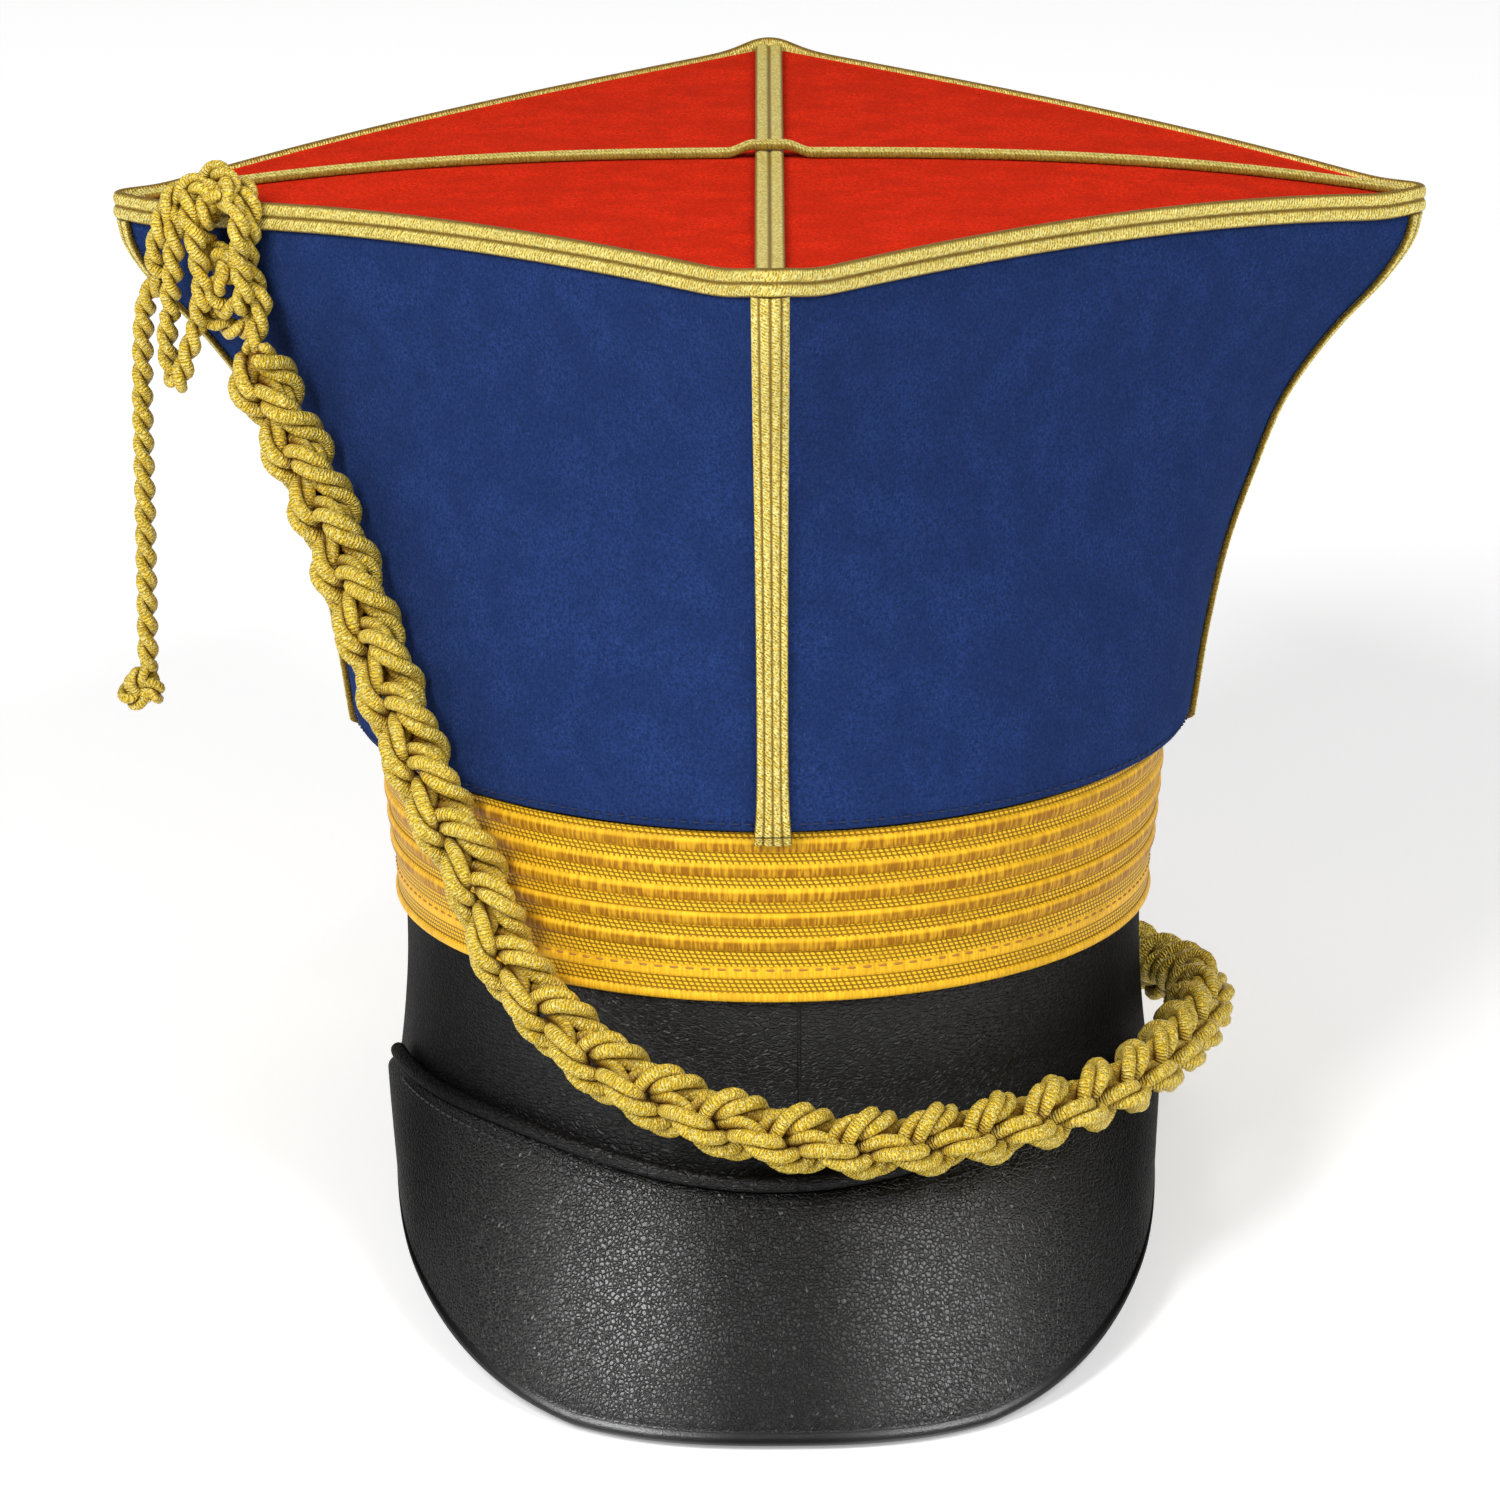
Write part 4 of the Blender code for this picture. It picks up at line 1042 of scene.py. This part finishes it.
class SHAKO_OT_top_braids(bpy.types.Operator):
    """Makes the braid round the top's edge and the two that cross on it"""
    bl_idname = "shako.top_braids"
    bl_label = "Top braids"

    def execute(self, context):
        colours, _ = settings()
        weave = braid_look("gold_braid_weave", colours.braid, 2)
        flat_weave = braid_look("gold_flat_weave", colours.braid, 2, metal=0.1)
        # The edge braid: a ribbed strip outside the body's rim, lifted by a Gaussian at the corners
        angle = corner_angles(np.linspace(0, 4, 640, endpoint=False))[:, None]
        share = np.linspace(0, 1, 22)[None, :]
        from_corner = np.abs((angle + math.pi / 4) % (math.pi / 2) - math.pi / 4) * TOP_DIAGONAL / 2
        lift = CORNER_LIFT * np.exp(-(from_corner / CORNER_LIFT_REACH) ** 2)
        edge_x, _ = body_plan(angle, 1.0)
        height = top_height(edge_x) + EDGE_BRAID_ABOVE + lift - EDGE_BRAID_WIDTH * share
        level = np.clip((height - BODY_FOOT) / (body_height(angle, 1.0) - BODY_FOOT), 0, 1)
        rise = EDGE_BRAID_THICKNESS * ribbed(share, 2, 0.5)
        outer = outside_body(angle, level, CLEARANCE + rise, height)
        inner = outside_body(angle, level[:, [0, -1]], CLEARANCE, height[:, [0, -1]])
        grid = walled(outer, inner)
        across = np.concatenate([np.linspace(0, 1, 22), [1.0, 0.0, 0.0]])
        carried_profile("edge_braid", grid, running_length(grid[:, 8], True), across, weave,
                        ("top_edge_braid",))

        # The crossing braids: ribbed strips on the top cloth; the side one rides over the other on
        # a smooth step
        corner_turn = (CROSS_BRAID_WIDTH / 2 + CLEARANCE) / (TOP_DIAGONAL / 2)
        reach = body_plan(corner_turn, 1.0)[0] - CLEARANCE
        run = np.linspace(-reach, reach, 400)[:, None]
        spots = np.linspace(-1, 1, 22)[None, :]
        for name, node, sideways in (("long_braid", "cross_braid_long", False),
                                     ("side_braid", "cross_braid_side", True)):
            aside = CROSS_BRAID_WIDTH / 2 * spots
            x, y = (run, aside) if sideways else (aside, run)
            over = CROSS_BRAID_WIDTH / 2 + CLEARANCE + CROSSING_RAMP
            ramp = np.clip((over - np.abs(run)) / CROSSING_RAMP, 0, 1)
            crossing = (CROSS_BRAID_THICKNESS + CLEARANCE) * ramp ** 2 * (3 - 2 * ramp)
            seat = top_height(x) + CLEARANCE + (crossing if sideways else 0)
            rise = CROSS_BRAID_THICKNESS * ribbed((spots + 1) / 2, 2, 0.5)
            upper = points_at(x, y, seat + rise)
            lower = points_at(x, y, seat)[:, [0, -1]]
            carried_profile(name, walled(upper, lower), running_length(upper[:, 10]), across, flat_weave,
                            (node,), closed=False)
        return {"FINISHED"}


class SHAKO_OT_corner_braids(bpy.types.Operator):
    """Makes the four-ribbed braids down the body's corners and their cross stitches"""
    bl_idname = "shako.corner_braids"
    bl_label = "Corner braids"

    def execute(self, context):
        colours, sizes = settings()
        weave = braid_look("four_rib_weave", colours.braid, 4, seam=BRAID_TAIL[0])
        # Each braid: a ribbed strip down the body's corner, ending in a flared tail that steps in
        # over the lace
        spots = np.linspace(-1, 1, 34)[None, :]
        across = np.concatenate([np.linspace(0, 1, 34), [1.0, 0.0, 0.0]])
        for name, corner in (("right", 0), ("back", 1), ("left", 2), ("front", 3)):
            middle = corner * math.pi / 2
            rim = body_height(middle, 1.0) + TOP_THICKNESS + CLEARANCE
            below = rim + EDGE_BRAID_ABOVE + CORNER_LIFT - EDGE_BRAID_WIDTH - CLEARANCE
            top_level = (below - BODY_FOOT) / (body_height(middle, 1.0) - BODY_FOOT)
            level = np.linspace(CLOTH_WALL / BODY_HEIGHT, top_level, 220)[:, None]
            below_foot = np.array(BRAID_TAIL)[:, None]
            drop = np.concatenate([below_foot, 0 * level])
            level = np.concatenate([0 * below_foot, level])
            foot_size, skull_size = ((FOOT_WIDTH, SKULL_WIDTH), (FOOT_DEPTH, SKULL_DEPTH))[corner % 2]
            band_face = SKULL_FLARE + 2 * CLEARANCE + BAND_THICKNESS + RIB_CREST * sizes.rib_rise
            step_in = (foot_size - skull_size) / 2 - band_face
            inward = step_in * np.clip((drop - TAIL_STEP_START) / TAIL_STEP_RUN, 0, 1)
            radius = np.hypot(*body_plan(middle, level))
            from_end = level * BODY_HEIGHT + BRAID_TAIL[0] - drop
            flare = 1 + TAIL_FLARE * np.exp(-from_end / TAIL_FLARE_REACH)
            angle = middle + CORNER_BRAID_WIDTH / 2 * spots * flare / radius
            height = BODY_FOOT + (body_height(middle, 1.0) - BODY_FOOT) * level - drop
            rise = CORNER_BRAID_THICKNESS * ribbed((spots + 1) / 2, 4, 0.45)
            outer = outside_body(angle, level, CLEARANCE + rise - inward, height)
            inner = outside_body(angle[:, [0, -1]], level, CLEARANCE - inward, height)
            carried_profile(name + "_corner_braid", walled(outer, inner), running_length(outer[:, 16]),
                            across, weave, ("corner_braid_" + name,), closed=False)
        return {"FINISHED"}


class SHAKO_OT_cap_line(bpy.types.Operator):
    """Makes the cap line, three twisted strands plaited round the hat, and its looped corner knot"""
    bl_idname = "shako.cap_line"
    bl_label = "Cap line and corner knot"

    def execute(self, context):
        colours, _ = settings()
        look = cord_look("gold_gimp", colours.cord)
        # Each strand swings aside by a sine and to and fro by a sine of twice the rate, a third of
        # a period after the last one
        route = smooth_route(PLAIT_ROUTE, PLAIT_STEP)
        run = running_length(route)
        tangent = unit(np.gradient(route, axis=0))
        out = route * [1, 1, 0]
        out = unit(out - tangent * np.sum(out * tangent, axis=-1, keepdims=True))
        side = np.cross(out, tangent)
        forward = out * math.cos(PLAIT_TURN) + side * math.sin(PLAIT_TURN)
        aside = np.cross(tangent, forward)
        reach = (PLAIT_DIAMETER - PLAIT_STRAND) / 2
        sides, strands, plies = 9, 3, 3
        tubes = []
        for strand in range(strands):
            phase = 2 * np.pi * (run / PLAIT_PERIOD + strand / strands)
            swing = np.sin(phase) * (PLAIT_SWING - PLAIT_SWING_CUT * np.sin(phase) ** 2)
            deep = PLAIT_DEPTH * forward * np.sin(2 * phase)[:, None]
            line = route + reach * (aside * swing[:, None] + deep)
            tube, faces, uv, crown = ply_tubes(line, PLAIT_PLY_RADIUS, PLAIT_STRAND / 2 - PLAIT_PLY_RADIUS,
                                               PLAIT_TWIST, sides, plies, 2 * np.pi * strand / sides)
            # How far each point stands out of the plait; the cord's look paints shade on the deep points
            depth = np.linalg.norm(tube.reshape(plies, -1, sides, 3) - route[None, :, None], axis=-1).ravel()
            tubes.append((tube, faces, uv, crown * np.clip(depth / (PLAIT_DIAMETER * PLAIT_CROWN), 0, 1)))
        plait = joined_tubes("cap_line_plait", tubes, look, ("plait",))

        # The knot's cords lie in the leaning frame of the front left panel
        along = np.array([1, -1, 0]) / math.sqrt(2)
        out = np.array([-1, -1, 0]) / math.sqrt(2)
        up = np.array([0, 0, 1])
        up, out = (up * math.cos(KNOT_LEAN) + out * math.sin(KNOT_LEAN),
                   out * math.cos(KNOT_LEAN) - up * math.sin(KNOT_LEAN))
        turned = np.stack([along, up, out])
        lines = [KNOT_CENTRE + smooth_route(np.array(strand) / 1000, CORD_STEP) @ turned
                 for strand in KNOT_STRANDS]
        knot = cord_piece("corner_knot_cords", lines, look, ("corner_knot",), sides=10)
        path = to_rest(smooth_route(PLAIT_ROUTE, 0.01))
        return {"FINISHED"}


class SHAKO_OT_hanging_cords(bpy.types.Operator):
    """Makes the hanging cord with its end knot and the short bight"""
    bl_idname = "shako.hanging_cords"
    bl_label = "Hanging cord and bight"

    def execute(self, context):
        colours, _ = settings()
        look = bpy.data.materials.get("gold_gimp") or cord_look("gold_gimp", colours.cord)
        # The hanging cord runs on a little into its end knot
        line = smooth_route(CORD_ROUTE, CORD_STEP)
        plumb = np.array([0, math.sin(TILT), -math.cos(TILT)])
        into_knot = line[-1] + np.outer(np.arange(1, 6) * CORD_STEP, plumb)
        cord = cord_piece("hanging_twist", [np.concatenate([line, into_knot])], look, ("hanging_cord",),
                          sides=12)
        end_knot = cord_piece("end_knot_turns", [overhand(line[-1], plumb)], look, ("cord_end_knot",),
                              diameter=END_KNOT_CORD)
        path = to_rest(line)

        line = smooth_route(LOOP_ROUTE, CORD_STEP)
        loop = cord_piece("hanging_bight", [line], look, ("hanging_loop",), sides=12)
        path = to_rest(line)
        return {"FINISHED"}


class SHAKO_PT_panel(bpy.types.Panel):
    """Buttons, colours and sizes of the shako"""
    bl_label = "Shako"
    bl_space_type = "VIEW_3D"
    bl_region_type = "UI"
    bl_category = "Shako"

    def draw(self, context):
        for operator in OPERATORS:
            self.layout.operator(operator.bl_idname)
        for group in (context.scene.shako_colours, context.scene.shako_sizes):
            for name in group.bl_rna.properties.keys():
                if name not in ("rna_type", "name"):
                    self.layout.prop(group, name)


OPERATORS = (SHAKO_OT_stage, SHAKO_OT_cap_line, SHAKO_OT_hanging_cords, SHAKO_OT_leather, SHAKO_OT_waist_band,
             SHAKO_OT_cloth, SHAKO_OT_top_braids, SHAKO_OT_corner_braids)
CLASSES = (ShakoColours, ShakoSizes, *OPERATORS, SHAKO_PT_panel)


def register():
    for cls in CLASSES:
        bpy.utils.register_class(cls)
    bpy.types.Scene.shako_colours = bpy.props.PointerProperty(type=ShakoColours)
    bpy.types.Scene.shako_sizes = bpy.props.PointerProperty(type=ShakoSizes)


def unregister():
    del bpy.types.Scene.shako_sizes
    del bpy.types.Scene.shako_colours
    for cls in reversed(CLASSES):
        bpy.utils.unregister_class(cls)


def main():
    """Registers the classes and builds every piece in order."""
    register()
    for operator in OPERATORS:
        group, name = operator.bl_idname.split(".")
        getattr(getattr(bpy.ops, group), name)()


if __name__ == "__main__":
    main()
